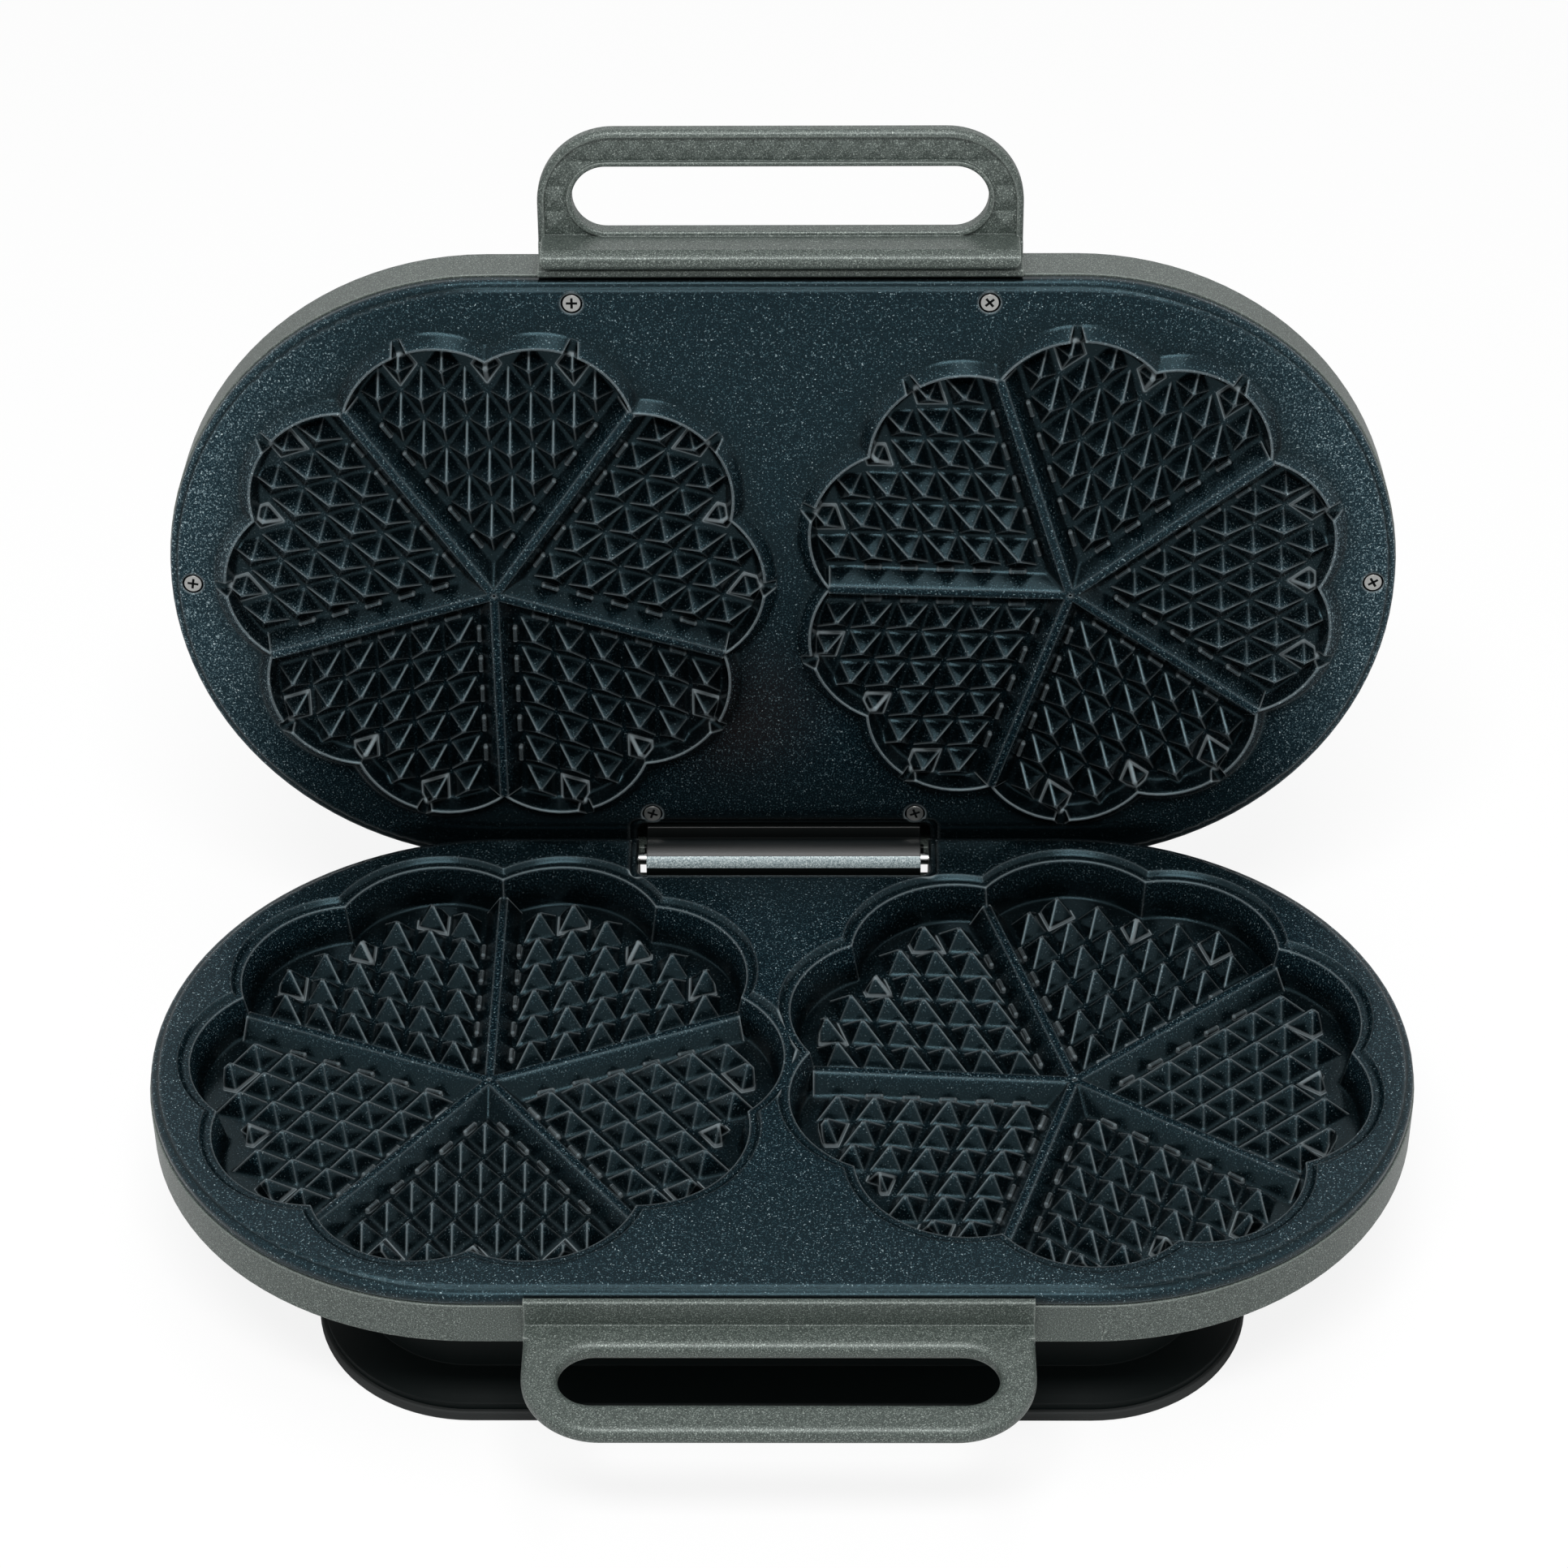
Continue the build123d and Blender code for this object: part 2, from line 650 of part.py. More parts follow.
# Places shared by the pieces under each plate
FOOT_HALF_LENGTH = PLATE_HALF_LENGTH - FOOT_INSET_X
FOOT_HALF_DEPTH = PLATE_HALF_DEPTH - FOOT_INSET_Y
NECK_INSET = FLANGE_INSET + COVE_RUN
TUB_INSET = NECK_INSET + SHELL_WALL
TRAY_HALF_LENGTH = FOOT_HALF_LENGTH - TUB_INSET - REFLECTOR_CLEARANCE
TRAY_HALF_DEPTH = FOOT_HALF_DEPTH - TUB_INSET - REFLECTOR_CLEARANCE
TRAY_SCREWS = (
    (0, TRAY_HALF_DEPTH - POST_EDGE),
    (0, POST_EDGE - TRAY_HALF_DEPTH),
    (-FLOWER_X, 0),
    (FLOWER_X, 0),
)
LOOP_HALF_LENGTH = TRAY_HALF_LENGTH - LOOP_END + REFLECTOR_CLEARANCE
LOOP_HALF_DEPTH = TRAY_HALF_DEPTH - LOOP_SIDE
LOOP_CORNER = LOOP_HALF_DEPTH - LOOP_STRAIGHT
LOWER_FLOOR = lower_floor_level(DOME_RADIUS)
BOSS_BOTTOM = LOWER_FLOOR - CASTING_WALL
DISH_BOTTOM = lower_floor_level(DOME_TOP_RADIUS) - CASTING_WALL
LOWER_TRACK = DISH_BOTTOM - TRACK_HEIGHT
UPPER_TRACK = -PLATE_SKIRT - TRACK_HEIGHT
TUB_HALF_LENGTH = FOOT_HALF_LENGTH - TUB_INSET
TUB_HALF_DEPTH = FOOT_HALF_DEPTH - TUB_INSET
TUB_CORNER = FOOT_CORNER - TUB_INSET
EAR_SHIFT = TUB_CORNER - (TUB_CORNER - EAR_INSET) * cos(radians(45))
EARS = [
    (x, y)
    for x in (EAR_SHIFT - TUB_HALF_LENGTH, TUB_HALF_LENGTH - EAR_SHIFT)
    for y in (EAR_SHIFT - TUB_HALF_DEPTH, TUB_HALF_DEPTH - EAR_SHIFT)
]
LOWER_TRAY = LOWER_TRACK - REFLECTOR_STANDOFF
UPPER_TRAY = UPPER_TRACK - REFLECTOR_STANDOFF
BASE_FLOOR = -BASE_BAND_BOTTOM - BASE_SLOPE
LID_CROWN = -LID_BAND_BOTTOM - LID_SLOPE
HANDLE_SCREW_LEVEL = -(HANDLE_FACE + BASE_BAND_BOTTOM) / 2
HANDLE_TIP = PLATE_HALF_DEPTH + HANDLE_REACH
PLATE_POSTS = [
    (x, y)
    for x in (-PLATE_POST_X, PLATE_POST_X)
    for y in (PLATE_POST_INSET - PLATE_HALF_DEPTH, PLATE_HALF_DEPTH - PLATE_POST_INSET)
]
PLATE_SCREWS = [
    (-LID_SCREW_TOP[0], PLATE_HALF_DEPTH - LID_SCREW_TOP[1]),
    (LID_SCREW_TOP[0], PLATE_HALF_DEPTH - LID_SCREW_TOP[1]),
    (LID_SCREW_SIDE - PLATE_HALF_LENGTH, 0),
    (PLATE_HALF_LENGTH - LID_SCREW_SIDE, 0),
    (-LID_SCREW_HINGE[0], LID_SCREW_HINGE[1] - LID_NOTCH_Y),
    (LID_SCREW_HINGE[0], LID_SCREW_HINGE[1] - LID_NOTCH_Y),
]

HANDLE_SCREWS = [(-HANDLE_SCREW_X, 0), (HANDLE_SCREW_X, 0)]
CROWN_FACE = Plane(UPPER_FACE.offset(LID_CROWN).origin, x_dir=(1, 0, 0), z_dir=-LID_Z_DIR)
GLAND_POINT = (BLOCK_POSITION[0], FOOT_HALF_DEPTH - NECK_INSET, GLAND_HEIGHT)

# Lower cooking plate
with BuildPart() as lower_plate:
    plate_slab(LOWER_FACE, NOTCH_HALF_WIDTH, NOTCH_Y, 1)
    with BuildSketch(LOWER_FACE.offset(BASE_FLOOR + SHELL_WALL)):
        with Locations(*PLATE_POSTS):
            Circle(POST_RADIUS)
    extrude(amount=-BASE_FLOOR - SHELL_WALL - PLATE_SKIRT)
    with BuildSketch(LOWER_FACE.offset(LOWER_TRAY)):
        with Locations(*TRAY_SCREWS):
            Circle(POST_RADIUS)
    extrude(amount=-LOWER_TRAY - PLATE_SKIRT)
    for centre_x, turn in LOWER_FLOWERS:
        boss = -RECESS_MARGIN - RECESS_WALL
        levels = ((-PLATE_SKIRT, boss), (BOSS_BOTTOM, boss))
        flower_loft(LOWER_FACE, centre_x, turn, levels, Mode.ADD)
        levels = ((BOSS_BOTTOM, DOME_RADIUS), (DISH_BOTTOM, DOME_TOP_RADIUS))
        facet_loft(LOWER_FACE, centre_x, turn, levels, Mode.ADD)
    heater_track(LOWER_FACE, BOSS_BOTTOM + TRACK_ROOT, LOWER_TRACK)
    for centre_x, turn in LOWER_FLOWERS:
        step = RECESS_STEP_RUN - RECESS_MARGIN
        wall = step + LEDGE_WIDTH
        levels = ((0, -RECESS_MARGIN), (-RECESS_STEP_DROP, step))
        flower_loft(LOWER_FACE, centre_x, turn, levels, Mode.SUBTRACT)
        levels = ((-RECESS_STEP_DROP, wall), (LOWER_FLOOR, wall + RECESS_DRAFT))
        flower_loft(LOWER_FACE, centre_x, turn, levels, Mode.SUBTRACT)
        bottom = lower_floor_level(DOME_TOP_RADIUS)
        levels = ((LOWER_FLOOR, DOME_RADIUS), (bottom, DOME_TOP_RADIUS))
        facet_loft(LOWER_FACE, centre_x, turn, levels, Mode.SUBTRACT)
    heater_tube(LOWER_FACE, LOWER_TRACK, TUBE_RADIUS + TUBE_FIT, Mode.SUBTRACT)
    with BuildSketch(LOWER_FACE.offset(-PLATE_SKIRT)):
        with Locations((0, NOTCH_Y + PLATE_HALF_DEPTH / 2)):
            Rectangle(2 * (NOTCH_HALF_WIDTH + HINGE_CHEEK + POCKET_GAP), PLATE_HALF_DEPTH)
    extrude(amount=LOWER_TRACK, mode=Mode.SUBTRACT)
    with BuildSketch(LOWER_FACE.offset(-PLATE_SKIRT)):
        with Locations((0, HINGE_Y - CHEEK_RADIUS - POCKET_GAP + PLATE_HALF_DEPTH / 2)):
            Rectangle(2 * (NOTCH_HALF_WIDTH + HINGE_CHEEK + POCKET_GAP), PLATE_HALF_DEPTH)
    extrude(amount=PLATE_SKIRT - POCKET_ROOF, mode=Mode.SUBTRACT)
    with BuildSketch(LOWER_FACE.offset(BASE_FLOOR + SHELL_WALL)):
        with Locations(*PLATE_POSTS):
            Circle(SCREW_RADIUS + SCREW_FIT)
    extrude(amount=SCREW_BITE, mode=Mode.SUBTRACT)
    with BuildSketch(LOWER_FACE.offset(LOWER_TRAY)):
        with Locations(*TRAY_SCREWS):
            Circle(SCREW_RADIUS + SCREW_FIT)
    extrude(amount=SCREW_BITE, mode=Mode.SUBTRACT)
    add(
        rib_fan(LOWER_FACE, LOWER_FLOWERS, lower_rib_level, lower_floor_level, LOWER_RIB_REACH)
        + pyramid_field(LOWER_FACE, LOWER_FLOWERS, lower_tip_level)
    )
lower_plate.part.label = "lower_plate"

# Upper cooking plate
with BuildPart() as upper_plate:
    plate_slab(UPPER_FACE, LID_NOTCH_HALF_WIDTH, LID_NOTCH_Y, -1)
    heater_track(UPPER_FACE, -PLATE_SKIRT, UPPER_TRACK)
    with BuildSketch(UPPER_FACE.offset(UPPER_TRAY)):
        with Locations(*TRAY_SCREWS):
            Circle(POST_RADIUS)
    extrude(amount=-UPPER_TRAY - PLATE_SKIRT)
    for centre_x, turn in UPPER_FLOWERS:
        floor = upper_floor_level(DOME_RADIUS)
        top = upper_floor_level(DOME_TOP_RADIUS)
        levels = ((0, 0), (RIDGE_HEIGHT, RIDGE_SLOPE))
        flower_loft(UPPER_FACE, centre_x, turn, levels, Mode.ADD)
        levels = ((RIDGE_HEIGHT, RIDGE_SLOPE + RIDGE_TOP), (floor, RIDGE_FOOT))
        flower_loft(UPPER_FACE, centre_x, turn, levels, Mode.SUBTRACT)
        levels = ((floor, DOME_RADIUS), (top, DOME_TOP_RADIUS))
        facet_loft(UPPER_FACE, centre_x, turn, levels, Mode.ADD)
    vents = [
        radial_plane(UPPER_FACE, centre_x, turn + (number + 0.5) * RIB_ANGLE, LOBE_RADIUS)
        for centre_x, turn in UPPER_FLOWERS
        for number in range(2 * HEARTS)
    ]
    with BuildSketch(*vents):
        Polygon(
            (-VENT_BOTTOM / 2, VENT_SILL),
            (VENT_BOTTOM / 2, VENT_SILL),
            (VENT_TOP / 2, RIDGE_HEIGHT),
            (-VENT_TOP / 2, RIDGE_HEIGHT),
            align=None,
        )
    extrude(amount=RIDGE_FOOT, mode=Mode.SUBTRACT)
    heater_tube(UPPER_FACE, UPPER_TRACK, TUBE_RADIUS + TUBE_FIT, Mode.SUBTRACT)
    with BuildSketch(UPPER_FACE):
        with Locations(*PLATE_SCREWS):
            Circle(SCREW_RECESS_RADIUS)
    extrude(amount=-SCREW_RECESS_DEPTH, mode=Mode.SUBTRACT)
    with BuildSketch(UPPER_FACE):
        with Locations(*PLATE_SCREWS):
            Circle(SCREW_HOLE)
    extrude(amount=-PLATE_SKIRT, mode=Mode.SUBTRACT)
    with BuildSketch(UPPER_FACE.offset(UPPER_TRAY)):
        with Locations(*TRAY_SCREWS):
            Circle(SCREW_RADIUS + SCREW_FIT)
    extrude(amount=SCREW_BITE, mode=Mode.SUBTRACT)
    add(
        rib_fan(UPPER_FACE, UPPER_FLOWERS, upper_rib_level, upper_floor_level, RIB_REACH)
        + pyramid_field(UPPER_FACE, UPPER_FLOWERS, upper_tip_level)
    )
upper_plate.part.label = "upper_plate"

# Heating elements, reflectors and their screws
with BuildPart() as lower_heater:
    heater_tube(LOWER_FACE, LOWER_TRACK, TUBE_RADIUS)
lower_heater.part.label = "lower_heater"

with BuildPart() as upper_heater:
    heater_tube(UPPER_FACE, UPPER_TRACK, TUBE_RADIUS)
upper_heater.part.label = "upper_heater"

with BuildPart() as lower_reflector:
    reflector_tray(LOWER_FACE, LOWER_TRAY)
lower_reflector.part.label = "lower_reflector"

with BuildPart() as upper_reflector:
    reflector_tray(UPPER_FACE, UPPER_TRAY)
upper_reflector.part.label = "upper_reflector"

tray_grip = REFLECTOR_THICKNESS + SCREW_BITE - SCREW_TIP_GAP
with BuildPart() as lower_reflector_screws:
    screws(LOWER_FACE, LOWER_TRAY - REFLECTOR_THICKNESS, TRAY_SCREWS, tray_grip, -1)
lower_reflector_screws.part.label = "lower_reflector_screws"

with BuildPart() as upper_reflector_screws:
    screws(UPPER_FACE, UPPER_TRAY - REFLECTOR_THICKNESS, TRAY_SCREWS, tray_grip, -1)
upper_reflector_screws.part.label = "upper_reflector_screws"

# Base housing
wall_grip = SHELL_WALL + SCREW_BITE - SCREW_TIP_GAP
with BuildPart() as base_housing:
    outer = ((-BAND_TOP, 0), (-BASE_BAND_BOTTOM, 0), (BASE_FLOOR, BASE_SLOPE_RUN))
    housing_form(LOWER_FACE, outer, -BAND_PROUD, Mode.ADD)
    inner = (
        (-BAND_TOP, 0),
        (SHELL_WALL - BASE_BAND_BOTTOM, 0),
        (BASE_FLOOR + SHELL_WALL, BASE_SLOPE_RUN),
    )
    housing_form(LOWER_FACE, inner, SHELL_WALL - BAND_PROUD, Mode.SUBTRACT)
    with BuildSketch(LOWER_FACE.offset(-BAND_TOP)):
        with Locations((0, (NOTCH_Y + POCKET_GAP + PLATE_HALF_DEPTH) / 2)):
            Rectangle(
                2 * (NOTCH_HALF_WIDTH + HINGE_CHEEK), PLATE_HALF_DEPTH - NOTCH_Y - POCKET_GAP
            )
    extrude(amount=BAND_TOP - POCKET_DEPTH - POCKET_WALL)
    with BuildSketch(HINGE_PLANE):
        with Locations((0, HINGE_DROP - CHEEK_TOP - CHEEK_RADIUS)):
            Rectangle(2 * CHEEK_RADIUS, 2 * CHEEK_RADIUS)
    extrude(amount=NOTCH_HALF_WIDTH + HINGE_CHEEK, both=True)
    with BuildSketch(LOWER_FACE):
        with Locations((0, NOTCH_Y + POCKET_GAP + POCKET_WALL + PLATE_HALF_DEPTH / 2)):
            Rectangle(2 * NOTCH_HALF_WIDTH, PLATE_HALF_DEPTH)
    extrude(amount=-POCKET_DEPTH, mode=Mode.SUBTRACT)
    with BuildSketch(HINGE_PLANE):
        Circle(PIN_RADIUS + PIN_CLEARANCE)
    extrude(amount=NOTCH_HALF_WIDTH + HINGE_CHEEK, both=True, mode=Mode.SUBTRACT)
    with BuildSketch(LOWER_FACE.offset(BASE_FLOOR)):
        RectangleRounded(2 * TUB_HALF_LENGTH, 2 * TUB_HALF_DEPTH, TUB_CORNER)
        with Locations(*EARS):
            Circle(EAR_RADIUS, mode=Mode.SUBTRACT)
        with Locations(*PLATE_POSTS):
            Circle(SCREW_HOLE)
        with Locations(*EARS):
            Circle(SCREW_HOLE)
    extrude(amount=SHELL_WALL, mode=Mode.SUBTRACT)
    with BuildSketch(wall_plane(FRONT_FACE)):
        with Locations(*HANDLE_SCREWS):
            Circle(SCREW_HOLE)
    extrude(amount=-SHELL_WALL, mode=Mode.SUBTRACT)
base_housing.part.label = "base_housing"

with BuildPart() as lower_plate_screws:
    screws(LOWER_FACE, BASE_FLOOR, PLATE_POSTS, wall_grip, -1)
lower_plate_screws.part.label = "lower_plate_screws"

# Pedestal, its cover and the rubber ring
COVER_TOP = RING_HEIGHT + COVER_THICKNESS
FLANGE_TOP = RING_HEIGHT + FLANGE_HEIGHT
HOUSING_UNDERSIDE = PLATE_HEIGHT + BASE_FLOOR
with BuildPart() as foot_ring:
    with BuildSketch():
        RectangleRounded(2 * FOOT_HALF_LENGTH, 2 * FOOT_HALF_DEPTH, FOOT_CORNER)
    extrude(amount=RING_HEIGHT)
    fillet(edges(), RING_EDGE_RADIUS)
    with BuildSketch():
        RectangleRounded(
            2 * (FOOT_HALF_LENGTH - RING_WIDTH),
            2 * (FOOT_HALF_DEPTH - RING_WIDTH),
            FOOT_CORNER - RING_WIDTH,
        )
    extrude(amount=RING_HEIGHT, mode=Mode.SUBTRACT)
foot_ring.part.label = "foot_ring"

with BuildPart() as pedestal:
    foot_slab(RING_HEIGHT, FLANGE_INSET, FLANGE_TOP, FLANGE_INSET, Mode.ADD)
    foot_slab(FLANGE_TOP, FLANGE_INSET, FLANGE_TOP + COVE_RISE, NECK_INSET, Mode.ADD)
    foot_slab(FLANGE_TOP + COVE_RISE, NECK_INSET, HOUSING_UNDERSIDE, NECK_INSET, Mode.ADD)
    foot_slab(RING_HEIGHT, TUB_INSET, HOUSING_UNDERSIDE, TUB_INSET, Mode.SUBTRACT)
    with BuildSketch(Plane.XY.offset(COVER_TOP)):
        with Locations(*EARS):
            Circle(EAR_RADIUS)
    extrude(amount=HOUSING_UNDERSIDE - COVER_TOP)
    with BuildSketch(Plane.XY.offset(COVER_TOP), Plane.XY.offset(HOUSING_UNDERSIDE - SCREW_BITE)):
        with Locations(*EARS):
            Circle(SCREW_RADIUS + SCREW_FIT)
    extrude(amount=SCREW_BITE, mode=Mode.SUBTRACT)
    with BuildSketch(Plane(GLAND_POINT, z_dir=(0, 1, 0))):
        Circle(GLAND_RADIUS)
    extrude(amount=-SHELL_WALL, mode=Mode.SUBTRACT)
pedestal.part.label = "pedestal"

with BuildPart() as pedestal_screws:
    screws(Plane.XY, HOUSING_UNDERSIDE + SHELL_WALL, EARS, wall_grip)
pedestal_screws.part.label = "pedestal_screws"

with BuildPart() as bottom_cover:
    cover_inset = TUB_INSET + COVER_CLEARANCE
    foot_slab(RING_HEIGHT, cover_inset, COVER_TOP, cover_inset, Mode.ADD)
    with BuildSketch(Plane.XY.offset(RING_HEIGHT)):
        with GridLocations(COVER_VENT_PITCH, 0, COVER_VENTS, 1):
            SlotOverall(COVER_VENT_LENGTH, COVER_VENT_WIDTH, rotation=90)
        with Locations(*EARS):
            Circle(SCREW_HOLE)
    extrude(amount=COVER_THICKNESS, mode=Mode.SUBTRACT)
bottom_cover.part.label = "bottom_cover"

with BuildPart() as bottom_cover_screws:
    screws(Plane.XY, RING_HEIGHT, EARS, COVER_THICKNESS + SCREW_BITE - SCREW_TIP_GAP, -1)
bottom_cover_screws.part.label = "bottom_cover_screws"

# Hinge pin
with BuildPart() as hinge_pin:
    with BuildSketch(HINGE_PLANE):
        Circle(PIN_RADIUS)
    extrude(amount=NOTCH_HALF_WIDTH + HINGE_CHEEK - PIN_END_GAP, both=True)
hinge_pin.part.label = "hinge_pin"

# Lid shell with its hinge tongue
with BuildPart() as lid_shell:
    outer = ((-BAND_TOP, 0), (-LID_BAND_BOTTOM, 0), (LID_CROWN, LID_SLOPE_RUN))
    housing_form(UPPER_FACE, outer, -BAND_PROUD, Mode.ADD)
    crown = faces().sort_by(Axis(UPPER_FACE.origin, UPPER_FACE.z_dir))[0]
    fillet(crown.outer_wire().edges(), LID_CROWN_RADIUS)
    inner = (
        (-BAND_TOP, 0),
        (SHELL_WALL - LID_BAND_BOTTOM, 0),
        (LID_CROWN + SHELL_WALL, LID_SLOPE_RUN),
    )
    housing_form(UPPER_FACE, inner, SHELL_WALL - BAND_PROUD, Mode.SUBTRACT)
    with BuildSketch(UPPER_FACE.offset(-PLATE_SKIRT)):
        with Locations(*PLATE_SCREWS):
            Circle(LID_BOSS_RADIUS)
    extrude(amount=PLATE_SKIRT - BASE_BAND_BOTTOM)
    with BuildSketch(UPPER_FACE.offset(-TONGUE_FACE)):
        with Locations((0, -(PLATE_HALF_DEPTH + BAND_PROUD + LID_NOTCH_Y + TONGUE_GAP) / 2)):
            Rectangle(
                2 * TONGUE_HALF_WIDTH,
                PLATE_HALF_DEPTH + BAND_PROUD - LID_NOTCH_Y - TONGUE_GAP,
            )
    extrude(amount=TONGUE_FACE - TONGUE_DEPTH)
    with BuildSketch(UPPER_FACE.offset(-TONGUE_DEPTH)):
        with Locations((0, -HINGE_Y - TONGUE_RADIUS / 2)):
            Rectangle(2 * TONGUE_HALF_WIDTH, TONGUE_RADIUS)
    extrude(amount=TONGUE_DEPTH + HINGE_TO_LID_FACE)
    with BuildSketch(HINGE_PLANE):
        Circle(TONGUE_RADIUS)
    extrude(amount=TONGUE_HALF_WIDTH, both=True)
    with BuildSketch(HINGE_PLANE):
        Circle(PIN_RADIUS + PIN_CLEARANCE)
    extrude(amount=TONGUE_HALF_WIDTH, both=True, mode=Mode.SUBTRACT)
    with BuildSketch(UPPER_FACE.offset(-PLATE_SKIRT)):
        with Locations(*PLATE_SCREWS):
            Circle(SCREW_RADIUS + SCREW_FIT)
    extrude(amount=-SCREW_BITE, mode=Mode.SUBTRACT)
    with BuildSketch(CROWN_FACE):
        Circle(BUSHING_RADIUS + BUSHING_CLEARANCE)
        with Locations((-LAMP_X, 0), (LAMP_X, 0)):
            Circle(LAMP_RADIUS + LAMP_FIT)
    extrude(amount=-SHELL_WALL, mode=Mode.SUBTRACT)
    with BuildSketch(wall_plane(UPPER_FACE)):
        with Locations(*HANDLE_SCREWS):
            Circle(SCREW_HOLE)
    extrude(amount=-SHELL_WALL, mode=Mode.SUBTRACT)
lid_shell.part.label = "lid_shell"

with BuildPart() as upper_plate_screws:
    grip = PLATE_SKIRT - SCREW_RECESS_DEPTH + SCREW_BITE - SCREW_TIP_GAP
    screws(UPPER_FACE, -SCREW_RECESS_DEPTH, PLATE_SCREWS, grip)
upper_plate_screws.part.label = "upper_plate_screws"

# Handles
with BuildPart() as lower_handle:
    handle(FRONT_FACE, LOWER_HANDLE_ROUND, LOWER_HANDLE_ROUND)
lower_handle.part.label = "lower_handle"

# The upper handle also has a hollowed drip lip, and a prism band round its slot.
with BuildPart() as drip_lip:
    with BuildSketch(side_section(UPPER_FACE)):
        with BuildLine():
            Polyline(
                (PLATE_HALF_DEPTH + LIP_FOOT, -HANDLE_FACE),
                (PLATE_HALF_DEPTH + LIP_BACK, -HANDLE_FACE),
                (PLATE_HALF_DEPTH + LIP_BACK, LIP_HEIGHT),
                (PLATE_HALF_DEPTH + LIP_FRONT, LIP_HEIGHT),
            )
            SagittaArc(
                (PLATE_HALF_DEPTH + LIP_FRONT, LIP_HEIGHT),
                (PLATE_HALF_DEPTH + LIP_FOOT, -HANDLE_FACE),
                LIP_HOLLOW,
            )
        make_face()
        fillet(vertices().group_by(Axis.Y)[-1], LIP_ROUND)
    extrude(amount=LIP_HALF_WIDTH, both=True)
    with BuildSketch(UPPER_FACE.offset(LIP_HEIGHT)):
        with Locations((0, PLATE_HALF_DEPTH + (LIP_BACK + LIP_FOOT) / 2)):
            Rectangle(2 * LIP_HALF_WIDTH, LIP_FOOT - LIP_BACK)
        fillet(vertices().group_by(Axis.Y)[0], LIP_CORNER)
    extrude(amount=-LIP_HEIGHT - HANDLE_FACE, mode=Mode.INTERSECT)

prism_columns = 2 * ceil(HANDLE_HALF_WIDTH / PRISM_PITCH)
prism_rows = ceil((HANDLE_TIP - PLATE_HALF_DEPTH - LIP_FOOT) / PRISM_PITCH)
PRISM_PLANE = UPPER_FACE.offset(-HANDLE_FACE - PRISM_DROP)
PRISM_END = HANDLE_TIP - PRISM_RIM
with BuildPart() as prism_band:
    with BuildSketch(side_section(PRISM_PLANE)):
        saw_teeth(PRISM_END, -PRISM_PITCH, prism_rows)
    extrude(amount=HANDLE_HALF_WIDTH, both=True)
    with BuildSketch(radial_plane(PRISM_PLANE, 0, 0, PRISM_END)):
        saw_teeth(-prism_columns * PRISM_PITCH / 2, PRISM_PITCH, prism_columns)
    extrude(amount=prism_rows * PRISM_PITCH)
    with BuildSketch(PRISM_PLANE.offset(PRISM_DROP)):
        with Locations((0, PLATE_HALF_DEPTH + (LIP_FOOT + PRISM_END - PLATE_HALF_DEPTH) / 2)):
            Rectangle(
                2 * (HANDLE_HALF_WIDTH - PRISM_RIM), PRISM_END - PLATE_HALF_DEPTH - LIP_FOOT
            )
        fillet(vertices().group_by(Axis.Y)[-1], HANDLE_CORNER - PRISM_RIM)
        grip_slot(PRISM_BEAD, Mode.SUBTRACT)
    extrude(amount=-PRISM_DROP - PRISM_DEPTH, mode=Mode.INTERSECT)

with BuildPart() as upper_handle:
    handle(UPPER_FACE, UPPER_HANDLE_ROUND, SLOT_ROUND)
    add(prism_band.part, mode=Mode.SUBTRACT)
    add(drip_lip.part)
upper_handle.part.label = "upper_handle"

with BuildPart() as lower_handle_screws:
    screws(wall_plane(FRONT_FACE), 0, HANDLE_SCREWS, wall_grip)
lower_handle_screws.part.label = "lower_handle_screws"

with BuildPart() as upper_handle_screws:
    screws(wall_plane(UPPER_FACE), 0, HANDLE_SCREWS, wall_grip)
upper_handle_screws.part.label = "upper_handle_screws"

# Thermostat, knob and pilot lamps
with BuildPart() as thermostat_body:
    with BuildSketch(CROWN_FACE.offset(-SHELL_WALL)):
        Rectangle(THERMOSTAT_SIZE[0], THERMOSTAT_SIZE[1])
    extrude(amount=-THERMOSTAT_SIZE[2])
    with BuildSketch(CROWN_FACE.offset(-SHELL_WALL)):
        Circle(BUSHING_RADIUS)
    extrude(amount=SHELL_WALL + BUSHING_HEIGHT)
    with BuildSketch(CROWN_FACE.offset(-THERMOSTAT_TAB_DEPTH)):
        tab_y = (THERMOSTAT_SIZE[1] + THERMOSTAT_TAB[1]) / 2
        with Locations((-THERMOSTAT_TAB_X, tab_y), (THERMOSTAT_TAB_X, tab_y)):
            Rectangle(THERMOSTAT_TAB[0], THERMOSTAT_TAB[1])
    extrude(amount=-THERMOSTAT_TAB[2])
    with BuildSketch(CROWN_FACE.offset(-SHAFT_DEPTH)):
        Circle(SHAFT_RADIUS + SHAFT_CLEARANCE)
    extrude(amount=SHAFT_DEPTH + BUSHING_HEIGHT, mode=Mode.SUBTRACT)
thermostat_body.part.label = "thermostat_body"

with BuildPart() as thermostat_nut:
    with BuildSketch(CROWN_FACE):
        RegularPolygon(NUT_WIDTH / 2, 6, major_radius=False)
        Circle(BUSHING_RADIUS + SCREW_FIT, mode=Mode.SUBTRACT)
    extrude(amount=NUT_HEIGHT)
thermostat_nut.part.label = "thermostat_nut"

